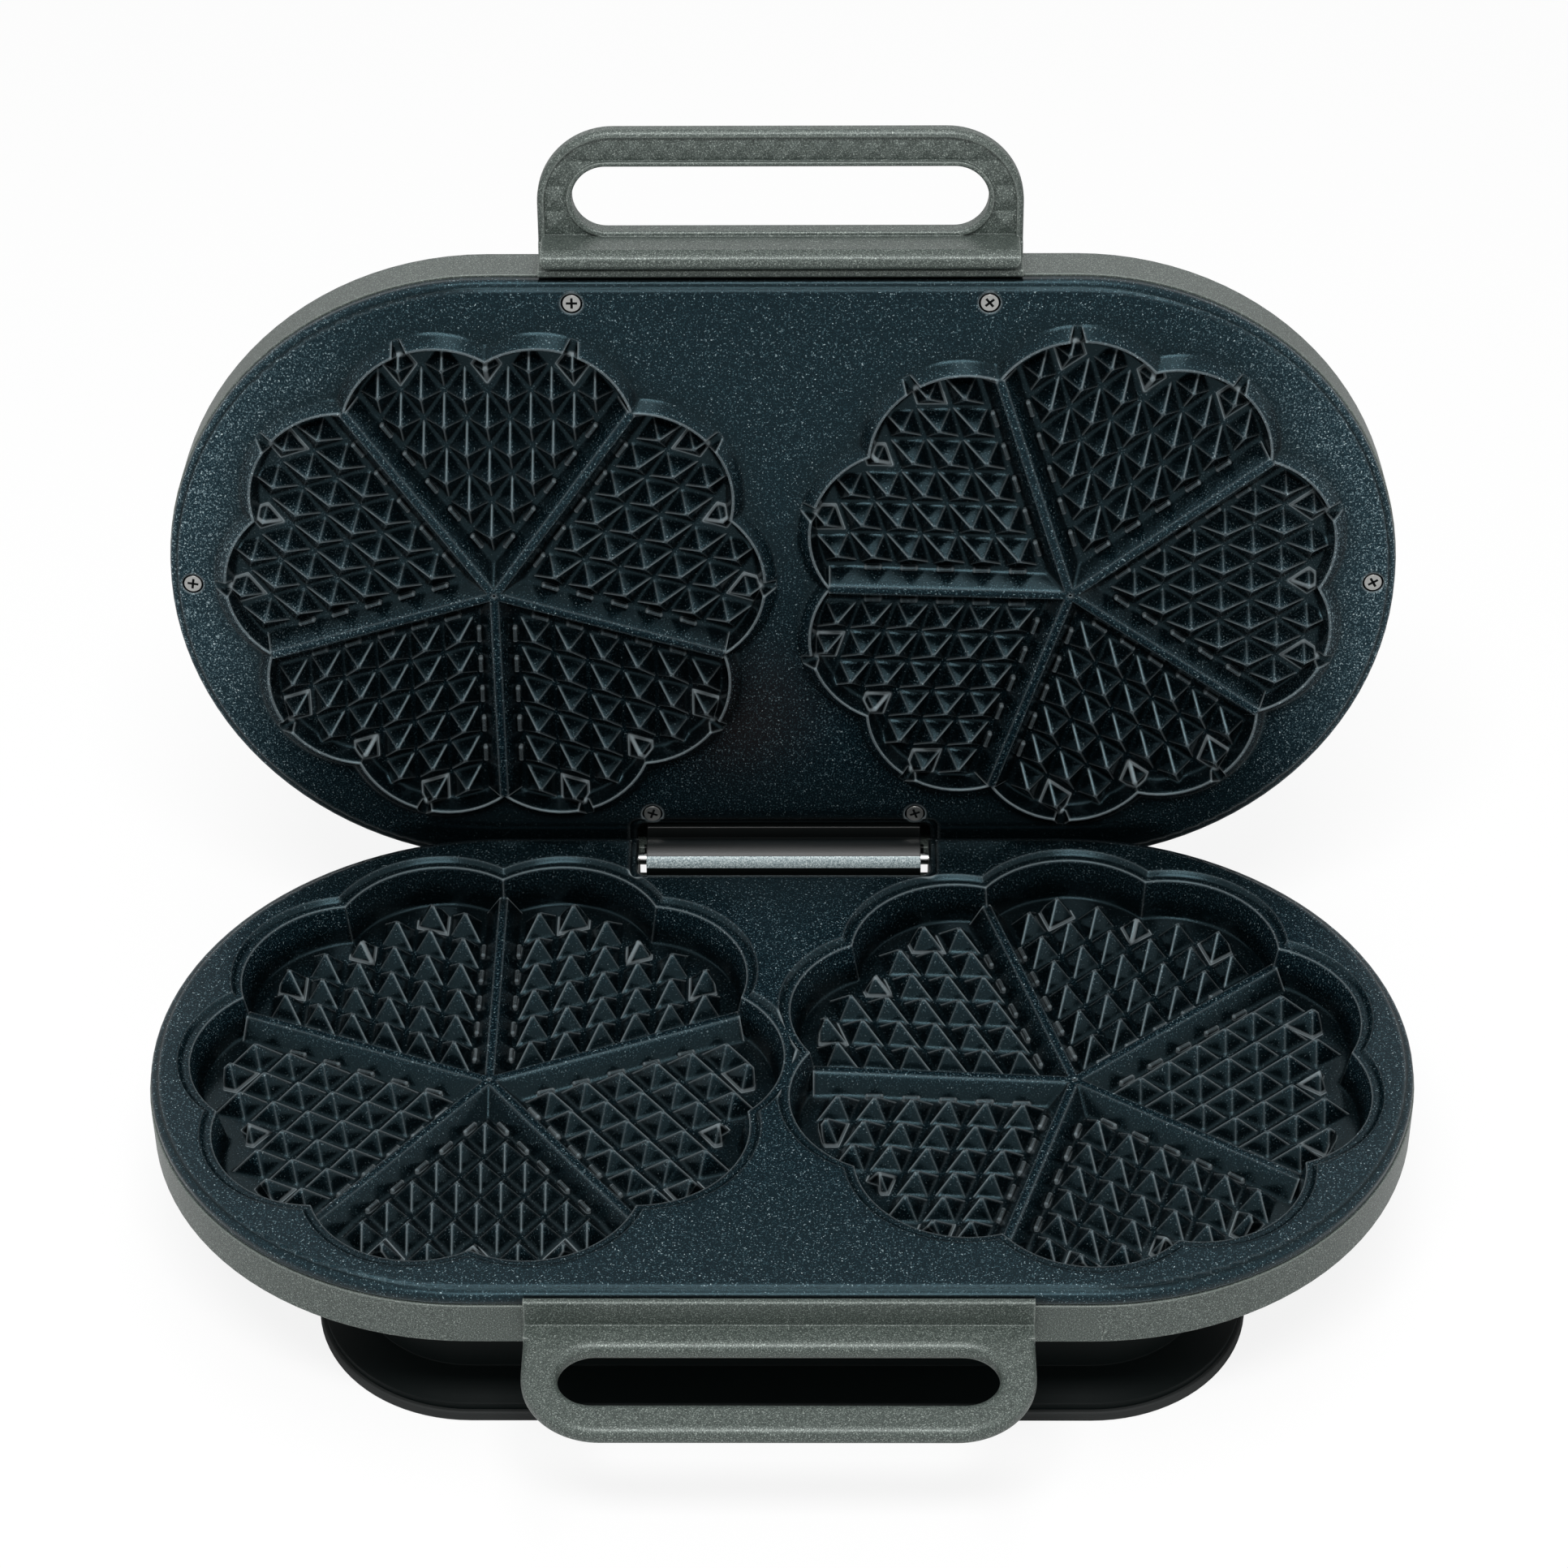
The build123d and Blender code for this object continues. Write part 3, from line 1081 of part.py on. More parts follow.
KNOB_FLOOR = KNOB_GAP + KNOB_HOLLOW
SHAFT_END = KNOB_GAP + KNOB_HEIGHT - KNOB_SKIN
with BuildPart() as temperature_knob:
    with BuildSketch(CROWN_FACE.offset(KNOB_GAP)):
        Circle(KNOB_RADIUS)
    extrude(amount=KNOB_HEIGHT)
    rim = faces().sort_by(Axis(CROWN_FACE.origin, CROWN_FACE.z_dir))[-1]
    fillet(rim.edges(), KNOB_EDGE_RADIUS)
    with BuildSketch(CROWN_FACE.offset(KNOB_GAP)):
        with PolarLocations(KNOB_RADIUS, KNOB_FLUTES):
            Circle(KNOB_FLUTE_RADIUS)
    extrude(amount=KNOB_HEIGHT, mode=Mode.SUBTRACT)
    with BuildSketch(CROWN_FACE.offset(KNOB_GAP)):
        Circle(KNOB_RADIUS - KNOB_WALL)
    extrude(amount=KNOB_HOLLOW, mode=Mode.SUBTRACT)
    with BuildSketch(CROWN_FACE.offset(KNOB_FLOOR)):
        Circle(KNOB_HUB_RADIUS)
    extrude(amount=BUSHING_HEIGHT + HUB_GAP - KNOB_FLOOR)
    with BuildSketch(CROWN_FACE.offset(BUSHING_HEIGHT + HUB_GAP)):
        Circle(SHAFT_RADIUS + SCREW_FIT)
    extrude(amount=SHAFT_END - BUSHING_HEIGHT - HUB_GAP, mode=Mode.SUBTRACT)
    with BuildSketch(CROWN_FACE.offset(KNOB_GAP + KNOB_HEIGHT)):
        with Locations((0, POINTER[0] / 2 - KNOB_RADIUS + KNOB_WALL)):
            Rectangle(POINTER[1], POINTER[0])
    extrude(amount=POINTER_HEIGHT)
temperature_knob.part.label = "temperature_knob"

with BuildPart() as thermostat_shaft:
    with BuildSketch(CROWN_FACE.offset(HUB_GAP - SHAFT_DEPTH)):
        Circle(SHAFT_RADIUS)
    extrude(amount=SHAFT_END + SHAFT_DEPTH - HUB_GAP)
thermostat_shaft.part.label = "thermostat_shaft"

with BuildPart() as power_lamp:
    lamp(-LAMP_X)
power_lamp.part.label = "power_lamp"

with BuildPart() as ready_lamp:
    lamp(LAMP_X)
ready_lamp.part.label = "ready_lamp"

with BuildPart() as lamp_bulbs:
    with BuildSketch(CROWN_FACE.offset(-LAMP_DEPTH)):
        with Locations((-LAMP_X, 0), (LAMP_X, 0)):
            Circle(BULB_RADIUS)
    extrude(amount=-BULB_LENGTH)
lamp_bulbs.part.label = "lamp_bulbs"

# Electrical parts in the pedestal, and the leads
with BuildPart() as cord_gland:
    with BuildSketch(Plane(GLAND_POINT, z_dir=(0, 1, 0)).offset(-SHELL_WALL)):
        Circle(GLAND_RADIUS - SCREW_FIT)
    extrude(amount=SHELL_WALL)
    with BuildSketch(Plane(GLAND_POINT, z_dir=(0, 1, 0))):
        Circle(GLAND_FLANGE_RADIUS)
    extrude(amount=GLAND_FLANGE)
    with BuildSketch(Plane(GLAND_POINT, z_dir=(0, 1, 0))):
        Circle(GLAND_RADIUS)
    extrude(amount=GLAND_NOSE)
    with BuildSketch(Plane(GLAND_POINT, z_dir=(0, 1, 0)).offset(-SHELL_WALL)):
        Circle(GLAND_FLANGE_RADIUS)
    extrude(amount=-GLAND_NUT)
    with BuildSketch(Plane(GLAND_POINT, z_dir=(0, 1, 0)).offset(GLAND_NOSE)):
        Circle(GLAND_BORE)
    extrude(amount=-GLAND_NOSE - SHELL_WALL - GLAND_NUT, mode=Mode.SUBTRACT)
cord_gland.part.label = "cord_gland"

BLOCK_WIRE_LEVEL = COVER_TOP + BLOCK_SIZE[2] / 2
BLOCK_FRONT = BLOCK_POSITION[1] - BLOCK_SIZE[1] / 2
with BuildPart() as terminal_block:
    with BuildSketch(Plane.XY.offset(COVER_TOP)):
        with Locations(BLOCK_POSITION):
            Rectangle(BLOCK_SIZE[0], BLOCK_SIZE[1])
    extrude(amount=BLOCK_SIZE[2])
    with BuildSketch(Plane.XY.offset(COVER_TOP + BLOCK_SIZE[2])):
        with Locations(BLOCK_POSITION):
            with GridLocations(BLOCK_PITCH, 0, BLOCK_WAYS, 1):
                Circle(BLOCK_WELL_RADIUS)
    extrude(amount=-BLOCK_WELL_DEPTH, mode=Mode.SUBTRACT)
terminal_block.part.label = "terminal_block"

TERMINAL_END = PLATE_HEIGHT + LOWER_TRACK - TERMINAL_DROP
with BuildPart() as base_wiring:
    for start_x, end_x in (
        (-TERMINAL_X, BLOCK_POSITION[0] - BLOCK_PITCH),
        (TERMINAL_X, BLOCK_POSITION[0]),
    ):
        with BuildLine() as run:
            FilletPolyline(
                (start_x, -LOOP_HALF_DEPTH, TERMINAL_END),
                (start_x, -LOOP_HALF_DEPTH, BLOCK_WIRE_LEVEL),
                (end_x, BLOCK_FRONT - LEAD_LEG, BLOCK_WIRE_LEVEL),
                (end_x, BLOCK_FRONT, BLOCK_WIRE_LEVEL),
                radius=LEAD_BEND,
            )
        with BuildSketch(Plane.XY.offset(TERMINAL_END)) as section:
            with Locations((start_x, -LOOP_HALF_DEPTH)):
                Circle(LEAD_RADIUS)
        sweep(section.sketch, run.line)
base_wiring.part.label = "base_wiring"

TAB_LEVEL = LID_CROWN + THERMOSTAT_TAB_DEPTH + THERMOSTAT_TAB[2] / 2
TAB_END = -THERMOSTAT_SIZE[1] / 2 - THERMOSTAT_TAB[1]
with BuildPart() as lid_wiring:
    for side in (-1, 1):
        with BuildLine(UPPER_FACE) as run:
            FilletPolyline(
                (side * TERMINAL_X, -LOOP_HALF_DEPTH, UPPER_TRACK - TERMINAL_DROP),
                (side * TERMINAL_X, -LOOP_HALF_DEPTH, TAB_LEVEL),
                (side * THERMOSTAT_TAB_X, TAB_END - LEAD_GAP, TAB_LEVEL),
                radius=LEAD_BEND,
            )
        with BuildSketch(UPPER_FACE.offset(UPPER_TRACK - TERMINAL_DROP)) as section:
            with Locations((side * TERMINAL_X, -LOOP_HALF_DEPTH)):
                Circle(LEAD_RADIUS)
        sweep(section.sketch, run.line)
lid_wiring.part.label = "lid_wiring"

for piece in (
    lower_plate,
    upper_plate,
    lower_heater,
    upper_heater,
    lower_reflector,
    upper_reflector,
    lower_reflector_screws,
    upper_reflector_screws,
    base_housing,
    lower_plate_screws,
    foot_ring,
    pedestal,
    pedestal_screws,
    bottom_cover,
    bottom_cover_screws,
    hinge_pin,
    lid_shell,
    upper_plate_screws,
    lower_handle,
    upper_handle,
    lower_handle_screws,
    upper_handle_screws,
    thermostat_body,
    thermostat_nut,
    temperature_knob,
    thermostat_shaft,
    power_lamp,
    ready_lamp,
    lamp_bulbs,
    cord_gland,
    terminal_block,
    base_wiring,
    lid_wiring,
):
    export_step(piece.part, "parts/" + piece.part.label + ".step")
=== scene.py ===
import json
from math import atan2, cos, degrees, hypot, radians, sin, tan

import bmesh
import bpy
from bpy.props import FloatProperty, FloatVectorProperty, PointerProperty, StringProperty
from mathutils import Matrix, Vector


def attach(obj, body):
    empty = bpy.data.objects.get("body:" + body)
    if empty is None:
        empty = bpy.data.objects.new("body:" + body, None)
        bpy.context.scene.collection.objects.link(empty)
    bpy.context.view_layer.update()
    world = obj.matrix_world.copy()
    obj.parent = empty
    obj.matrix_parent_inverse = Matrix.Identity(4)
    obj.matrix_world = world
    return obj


bl_info = {
    "name": "Double waffle maker",
    "version": (1, 0, 0),
    "blender": (4, 5, 0),
    "location": "View3D > Sidebar > Waffle maker",
    "description": "Finishes and fine detail for the packed double waffle maker",
    "category": "Add Mesh",
}

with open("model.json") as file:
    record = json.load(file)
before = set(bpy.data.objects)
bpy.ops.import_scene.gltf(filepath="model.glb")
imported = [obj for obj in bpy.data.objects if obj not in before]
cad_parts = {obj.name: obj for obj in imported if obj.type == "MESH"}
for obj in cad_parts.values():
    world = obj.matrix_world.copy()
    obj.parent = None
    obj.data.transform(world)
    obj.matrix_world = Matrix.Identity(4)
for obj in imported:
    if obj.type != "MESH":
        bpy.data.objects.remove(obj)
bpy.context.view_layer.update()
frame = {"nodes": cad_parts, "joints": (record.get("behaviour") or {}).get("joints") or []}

MM = 0.001

# The lid's face as it stands open: up along the face, and out of it
HINGE = Vector(frame["joints"][0]["pos_m"])
OPEN_ANGLE = radians(frame["joints"][0]["range_deg"][1])
LID_UP = Vector((0, -cos(OPEN_ANGLE), sin(OPEN_ANGLE)))
LID_OUT = Vector((0, -sin(OPEN_ANGLE), -cos(OPEN_ANGLE)))
HINGE_REACH = 102.3
LID_FACE_SETBACK = 7.05
LID_CENTRE = HINGE + (LID_UP * HINGE_REACH - LID_OUT * LID_FACE_SETBACK) * MM
LID_FRAME = Matrix.Translation(LID_CENTRE) @ Matrix(
    ((1, LID_UP.x, LID_OUT.x), (0, LID_UP.y, LID_OUT.y), (0, LID_UP.z, LID_OUT.z))
).to_4x4()
BASE_FACE_HEIGHT = 70.0
BASE_FRAME = Matrix.Translation((0, 0, BASE_FACE_HEIGHT * MM))

# The heart flowers as the plates have them, in millimetres and degrees
FLOWER_X = 94.5
UPPER_TURNS = (180.0, 126.0)
LOWER_TURNS = (0.0, 54.0)
HEARTS = 5
RIB_ANGLE = 36.0
LOBE_RADIUS = 92.9
RIB_CUSP_RADIUS = 83.0
HEART_CUSP_RADIUS = 86.0
RIDGE_FOOT = 6.7
DOME_RADIUS = RIB_CUSP_RADIUS - RIDGE_FOOT
FIRST_TIP = 21.2
CELL_ALONG = 9.6
CELL_ACROSS = CELL_ALONG * tan(radians(RIB_ANGLE))
TIP_EDGE_ROOM = 4.4
PYRAMID_HEIGHT = 6.5
PYRAMID_ROOT = 0.25
PYRAMID_SLOPE = 0.676
TIP_HALF_WIDTH = 0.5
DOME_TOP = 9.9
DOME_FALL = 0.07
LOWER_FACE_OFFSET = 0.55
PLATE_GAP = 5.0
UPPER_WALL_INSET = 4.8
LOWER_WALL_INSET = 7.2
SMALLEST_PIECE = 20.0
FARTHEST_TIP = -8.0
LOW_TIP_ROOM = 1.5
LOW_TIP_DROP = 1.2
WALL_CUTS = range(-3, 4)
WALL_CUT_STEP = 11
RIB_BAR = (5.8, 1.5, 2.2)
RIB_BAR_BEVEL = 0.4
RIB_BAR_RISE = 0.7
RIB_BARS = 5
RIB_BAR_PITCH = 11.87
FIRST_RIB_BAR = 17.15
RIB_BAR_ASIDE = 5.95
LID_SCREWS = (
    (-66.4, 100.4),
    (66.4, 100.4),
    (-194.6, 0),
    (194.6, 0),
    (-44.7, -88.8),
    (44.7, -88.8),
)
CROSS_ARM = (3.6, 0.8, 0.16)
CROSS_BEVEL = 0.05
CROSS_DEPTH = 0.22
CROSS_TURN = 0.7

# The hinge tongue and the painted highlight strip on its front, in millimetres from the hinge axis
TONGUE_RADIUS = 15.0
TONGUE_HALF_LENGTH = 48.0
HIGHLIGHT_STRIP_REACH = 5.5
HIGHLIGHT_STRIP_HALF_WIDTH = 2.0
HIGHLIGHT_STRIP_TILT = 30

FLECK_STOPS = (
    (0.0, "#02070A"),
    (0.5, "#08151B"),
    (0.59, "#11252C"),
    (0.66, "#4A646C"),
    (0.75, "#DCE8EA"),
)
# Fleck for the lighter ends of the lid
END_FLECK_STOPS = (
    (0.0, "#060F13"),
    (0.48, "#12232B"),
    (0.56, "#2A414A"),
    (0.63, "#8199A1"),
    (0.72, "#E6EFF0"),
)
# Colours of the painted highlight on the hinge tongue
HIGHLIGHT_STRIP_STOPS = ((0.3, "#4E5C60"), (0.5, "#93A3A6"), (0.7, "#E4ECEC"))
PAPER_COLOUR = "#EDEDED"
PAPER_UNDER_CAMERA = "#6F6F6F"
PAPER_LIFT = 0.86

# The studio, in metres, degrees and millimetres of lens
FLOOR_HALF = 6.0
KEY_PLACE = (-0.05, -0.98, 1.93)
KEY_TARGET = (0, 0.05, 0.1)
KEY_SIZE = (1.0, 0.3)
OVERHEAD_PLACE = (0.1, 0.0, 1.9)
OVERHEAD_TARGET = (0, 0.0, 0.1)
OVERHEAD_SIZE = (1.2, 0.5)
CAMERA_PLACE = (0.0129, -0.9748, 0.9723)
CAMERA_LENS = 94.9
CAMERA_PITCH = 39.12
CAMERA_YAW = 0.67
CAMERA_ROLL = -0.46


def srgb(value):
    """A hex colour as the linear colour that shaders work in."""
    channels = [int(value[i : i + 2], 16) / 255 for i in (1, 3, 5)]
    linear = [c / 12.92 if c <= 0.04045 else ((c + 0.055) / 1.055) ** 2.4 for c in channels]
    return (*linear, 1.0)


def add_node(tree, kind, settings=None, values=None, links=None):
    """Adds a node: settings are its properties, values its sockets, links (node, output)."""
    node = tree.nodes.new(kind)
    for name, value in (settings or {}).items():
        setattr(node, name, value)
    for name, value in (values or {}).items():
        node.inputs[name].default_value = value
    for name, (source, output) in (links or {}).items():
        tree.links.new(source.outputs[output], node.inputs[name])
    return node


def new_material(name, **shader_values):
    """A material with one Principled shader and Object coordinates to build on."""
    material = bpy.data.materials.new(name)
    material.use_nodes = True
    tree = material.node_tree
    shader = tree.nodes["Principled BSDF"]
    for socket, value in shader_values.items():
        shader.inputs[socket.replace("_", " ")].default_value = value
    place = add_node(tree, "ShaderNodeTexCoord")
    return material, tree, shader, place


def colour_ramp(tree, factor, stops):
    """A ramp through (position, hex colour) stops, fed by factor."""
    ramp = add_node(tree, "ShaderNodeValToRGB", links={"Fac": factor})
    points = ramp.color_ramp.elements
    while len(points) < len(stops):
        points.new(0.5)
    for point, (position, colour) in zip(points, stops):
        point.position = position
        point.color = srgb(colour)
    return ramp


def shade(colour, share):
    """A hex colour made darker, as a linear colour."""
    return (*(share * channel for channel in srgb(colour)[:3]), 1.0)


def two_tone(tree, shader, low, high, factor):
    """Colours the shader between two linear colours, by a pattern."""
    tint = add_node(
        tree,
        "ShaderNodeMix",
        settings={"data_type": "RGBA"},
        values={"A": low, "B": high},
        links={"Factor": factor},
    )
    tree.links.new(tint.outputs["Result"], shader.inputs["Base Color"])


def surface_relief(tree, shader, height, edge, strength, depth_mm):
    """Lays a pattern's relief over rounded edges, as the shader's normal."""
    relief = add_node(
        tree,
        "ShaderNodeBump",
        values={"Strength": strength, "Distance": depth_mm * MM},
        links={"Height": height, "Normal": (edge, "Normal")},
    )
    tree.links.new(relief.outputs["Normal"], shader.inputs["Normal"])


def edge_wear_and_highlight(tree, radius_mm, reach_mm):
    """A rounded normal for edges that catch the light, and how near a proud edge is."""
    edge = add_node(
        tree, "ShaderNodeBevel", settings={"samples": 8}, values={"Radius": radius_mm * MM}
    )
    inside = add_node(
        tree,
        "ShaderNodeAmbientOcclusion",
        settings={"samples": 6, "inside": True},
        values={"Distance": reach_mm * MM},
    )
    proud = add_node(
        tree,
        "ShaderNodeMapRange",
        values={"From Min": 0.86, "From Max": 0.42, "To Min": 0.0, "To Max": 1.0},
        links={"Value": (inside, "AO")},
    )
    return edge, proud


def nonstick_coating(look):
    """Cast aluminium, sprayed with non-stick coating: blue-black, fleck, edges lighter as wear and
    painted highlight, moulds and hinge side in painted shade.
    """
    material, tree, shader, place = new_material(
        "nonstick_coating_on_cast_aluminium", Roughness=look.coating_roughness
    )
    shader.inputs["Specular IOR Level"].default_value = look.coating_gloss
    shader.inputs["Specular Tint"].default_value = srgb(look.sheen_colour)
    # Mica fleck is near 0.3 mm; it is drawn at 0.6 mm so that it shows in the render.
    fleck = add_node(
        tree,
        "ShaderNodeTexNoise",
        values={"Scale": 1 / (0.6 * MM), "Detail": 2.0, "Roughness": 0.8},
        links={"Vector": (place, "Object")},
    )
    tint = colour_ramp(tree, (fleck, "Fac"), FLECK_STOPS)
    cloud = add_node(
        tree,
        "ShaderNodeTexNoise",
        values={"Scale": 14.0, "Detail": 4.0},
        links={"Vector": (place, "Object")},
    )
    # Baked-on oil gathers where the lid is hottest, between the flowers near the hinge.
    away = add_node(
        tree,
        "ShaderNodeVectorMath",
        settings={"operation": "DISTANCE"},
        values={1: Vector(look.stain_place)},
        links={0: (place, "Object")},
    )
    near = add_node(
        tree,
        "ShaderNodeMapRange",
        settings={"interpolation_type": "SMOOTHSTEP"},
        values={"From Min": look.stain_size, "From Max": 0.004, "To Max": 0.8},
        links={"Value": (away, "Value")},
    )
    patchy = add_node(
        tree,
        "ShaderNodeMath",
        settings={"operation": "MULTIPLY"},
        links={0: (near, "Result"), 1: (cloud, "Fac")},
    )
    stained = add_node(
        tree,
        "ShaderNodeMix",
        settings={"data_type": "RGBA"},
        values={"B": srgb("#20120B")},
        links={"A": (tint, "Color"), "Factor": (patchy, "Value")},
    )
    # The lid's ends are drawn lighter, with more of the fleck; near the hinge both plates are
    # darkened as painted shade.
    ends = add_node(
        tree,
        "ShaderNodeVectorMath",
        settings={"operation": "MULTIPLY"},
        values={1: (1.0, 0.0, 0.0)},
        links={0: (place, "Object")},
    )
    reach = add_node(
        tree,
        "ShaderNodeVectorMath",
        settings={"operation": "LENGTH"},
        links={0: (ends, "Vector")},
    )
    towards_ends = add_node(
        tree,
        "ShaderNodeMapRange",
        settings={"interpolation_type": "SMOOTHSTEP"},
        values={"From Min": 0.12, "From Max": 0.2, "To Max": 0.85},
        links={"Value": (reach, "Value")},
    )
    height = add_node(tree, "ShaderNodeSeparateXYZ", links={"Vector": (place, "Object")})
    on_lid = add_node(
        tree,
        "ShaderNodeMapRange",
        values={"From Min": 0.08, "From Max": 0.14},
        links={"Value": (height, "Z")},
    )
    lighter_ends = add_node(
        tree,
        "ShaderNodeMath",
        settings={"operation": "MULTIPLY"},
        links={0: (towards_ends, "Result"), 1: (on_lid, "Result")},
    )
    end_fleck = colour_ramp(tree, (fleck, "Fac"), END_FLECK_STOPS)
    lighter = add_node(
        tree,
        "ShaderNodeMix",
        settings={"data_type": "RGBA"},
        links={
            "A": (stained, "Result"),
            "B": (end_fleck, "Color"),
            "Factor": (lighter_ends, "Value"),
        },
    )
    # Painted shade: within 50 mm of the hinge axis both plates are darkened towards near-black.
    to_hinge = add_node(
        tree,
        "ShaderNodeVectorMath",
        settings={"operation": "MULTIPLY_ADD"},
        values={1: (0.0, 1.0, 1.0), 2: -HINGE},
        links={0: (place, "Object")},
    )
    from_hinge = add_node(
        tree,
        "ShaderNodeVectorMath",
        settings={"operation": "LENGTH"},
        links={0: (to_hinge, "Vector")},
    )
    hinge_shade = add_node(
        tree,
        "ShaderNodeMapRange",
        settings={"interpolation_type": "SMOOTHSTEP"},
        values={"From Min": 0.05, "From Max": 0.012, "To Max": 0.7},
        links={"Value": (from_hinge, "Value")},
    )
    shaded = add_node(
        tree,
        "ShaderNodeMix",
        settings={"data_type": "RGBA"},
        values={"B": srgb("#04090B")},
        links={"A": (lighter, "Result"), "Factor": (hinge_shade, "Result")},
    )
    # Painted shade: where ambient occlusion finds the moulds, the coating is darkened to nearly
    # black.
    sunk = add_node(
        tree,
        "ShaderNodeAmbientOcclusion",
        settings={"samples": 8},
        values={"Distance": 11 * MM},
    )
    mould_shade = add_node(
        tree,
        "ShaderNodeMapRange",
        values={"From Min": 0.97, "From Max": 0.78, "To Min": 0.0, "To Max": 0.88},
        links={"Value": (sunk, "AO")},
    )
    black = add_node(
        tree,
        "ShaderNodeMix",
        settings={"data_type": "RGBA"},
        values={"B": srgb("#020506")},
        links={"A": (shaded, "Result"), "Factor": (mould_shade, "Result")},
    )
    # Castings have edges rounded to 2 mm; proud edges are painted lighter, as wear and as painted
    # highlight.
    edge, proud = edge_wear_and_highlight(tree, 2.0, 1.0)
    edge_lightening = add_node(
        tree,
        "ShaderNodeMath",
        settings={"operation": "MULTIPLY"},
        values={1: look.edge_wear_and_highlight},
        links={0: (proud, "Result")},
    )
    wear_and_highlight = add_node(
        tree,
        "ShaderNodeMix",
        settings={"data_type": "RGBA"},
        values={"B": srgb("#CBD9DE")},
        links={"A": (black, "Result"), "Factor": (edge_lightening, "Value")},
    )
    tree.links.new(wear_and_highlight.outputs["Result"], shader.inputs["Base Color"])
    # The moulds get a lower roughness of their own, so they shine more sharply than the rim.
    gloss = add_node(
        tree,
        "ShaderNodeMapRange",
        values={
            "From Max": 0.88,
            "To Min": look.coating_roughness,
            "To Max": look.mould_roughness,
        },
        links={"Value": (mould_shade, "Result")},
    )
    tree.links.new(gloss.outputs["Result"], shader.inputs["Roughness"])
    surface_relief(tree, shader, (fleck, "Fac"), edge, 0.3, 0.1)
    return material


def flecked_paint(name, dark, middle, light, bright, metal):
    """Moulded ABS under metallic paint: greenish grey with bright and dark aluminium flake."""
    material, tree, shader, place = new_material(name, Roughness=0.4, Metallic=metal)
    # Flake is near 0.1 mm; it is drawn at 0.45 mm so that it shows in the render.
    flake = add_node(
        tree,
        "ShaderNodeTexNoise",
        values={"Scale": 1 / (0.45 * MM), "Detail": 2.0, "Roughness": 0.85},
        links={"Vector": (place, "Object")},
    )
    tint = colour_ramp(
        tree, (flake, "Fac"), ((0.3, dark), (0.47, middle), (0.57, light), (0.72, bright))
    )
    # Proud edges are painted lighter, as wear and as painted highlight.
    edge, proud = edge_wear_and_highlight(tree, 0.7, 1.0)
    edge_lightening = add_node(
        tree,
        "ShaderNodeMath",
        settings={"operation": "MULTIPLY"},
        values={1: 0.35},
        links={0: (proud, "Result")},
    )
    wear_and_highlight = add_node(
        tree,
        "ShaderNodeMix",
        settings={"data_type": "RGBA"},
        values={"B": srgb(bright)},
        links={"A": (tint, "Color"), "Factor": (edge_lightening, "Value")},
    )
    tree.links.new(wear_and_highlight.outputs["Result"], shader.inputs["Base Color"])
    surface_relief(tree, shader, (flake, "Fac"), edge, 0.35, 0.1)
    return material


def moulded_plastic(name, colour, roughness, grain_mm, gloss=0.5):
    """Moulded polypropylene or phenolic: an even colour over a fine spark-eroded grain."""
    material, tree, shader, place = new_material(name, Roughness=roughness)
    shader.inputs["Specular IOR Level"].default_value = gloss
    grain = add_node(
        tree,
        "ShaderNodeTexNoise",
        values={"Scale": 1 / (grain_mm * MM), "Detail": 3.0},
        links={"Vector": (place, "Object")},
    )
    two_tone(tree, shader, shade(colour, 0.82), srgb(colour), (grain, "Fac"))
    edge = add_node(tree, "ShaderNodeBevel", settings={"samples": 4}, values={"Radius": 0.5 * MM})
    surface_relief(tree, shader, (grain, "Fac"), edge, 0.25, 0.08)
    return material


def worked_metal(name, colour, roughness, streak):
    """Drawn or plated metal: fine streaks across the piece break up its shine."""
    material, tree, shader, place = new_material(name, Metallic=1.0, Roughness=roughness)
    stretch = add_node(
        tree,
        "ShaderNodeMapping",
        values={"Scale": streak},
        links={"Vector": (place, "Object")},
    )
    lines = add_node(
        tree,
        "ShaderNodeTexNoise",
        values={"Scale": 900.0, "Detail": 3.0},
        links={"Vector": (stretch, "Vector")},
    )
    two_tone(tree, shader, shade(colour, 0.7), srgb(colour), (lines, "Fac"))
    edge = add_node(tree, "ShaderNodeBevel", settings={"samples": 4}, values={"Radius": 0.25 * MM})
    surface_relief(tree, shader, (lines, "Fac"), edge, 0.2, 0.03)
    return material


def lens_plastic(name, colour):
    """Clear tinted acrylic: bright gloss, with the lamp's colour carried through."""
    material, tree, shader, place = new_material(name, Roughness=0.12, IOR=1.49)
    shader.inputs["Transmission Weight"].default_value = 0.55
    facets = add_node(
        tree,
        "ShaderNodeTexVoronoi",
        values={"Scale": 900.0},
        links={"Vector": (place, "Object")},
    )
    two_tone(tree, shader, srgb(colour), shade(colour, 0.75), (facets, "Distance"))
    return material


def dress(names, material):
    """Gives CAD nodes their finish."""
    for name in names:
        mesh = frame["nodes"][name].data
        mesh.materials.clear()
        mesh.materials.append(material)


def add_shape(whole, shape, place):
    """Adds one closed shape, drawn in millimetres, to a larger one."""
    bmesh.ops.recalc_face_normals(shape, faces=shape.faces)
    shape.transform(place)
    part = bpy.data.meshes.new("part")
    shape.to_mesh(part)
    shape.free()
    whole.from_mesh(part)
    bpy.data.meshes.remove(part)


def finish_piece(shape, name, place, material, body):
    """Turns shapes drawn in millimetres on a face into a piece in place on its body."""
    shape.transform(place @ Matrix.Scale(MM, 4))
    mesh = bpy.data.meshes.new(name)
    shape.to_mesh(mesh)
    shape.free()
    mesh.materials.append(material)
    piece = bpy.data.objects.new(name, mesh)
    bpy.context.scene.collection.objects.link(piece)
    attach(piece, body)
    return piece


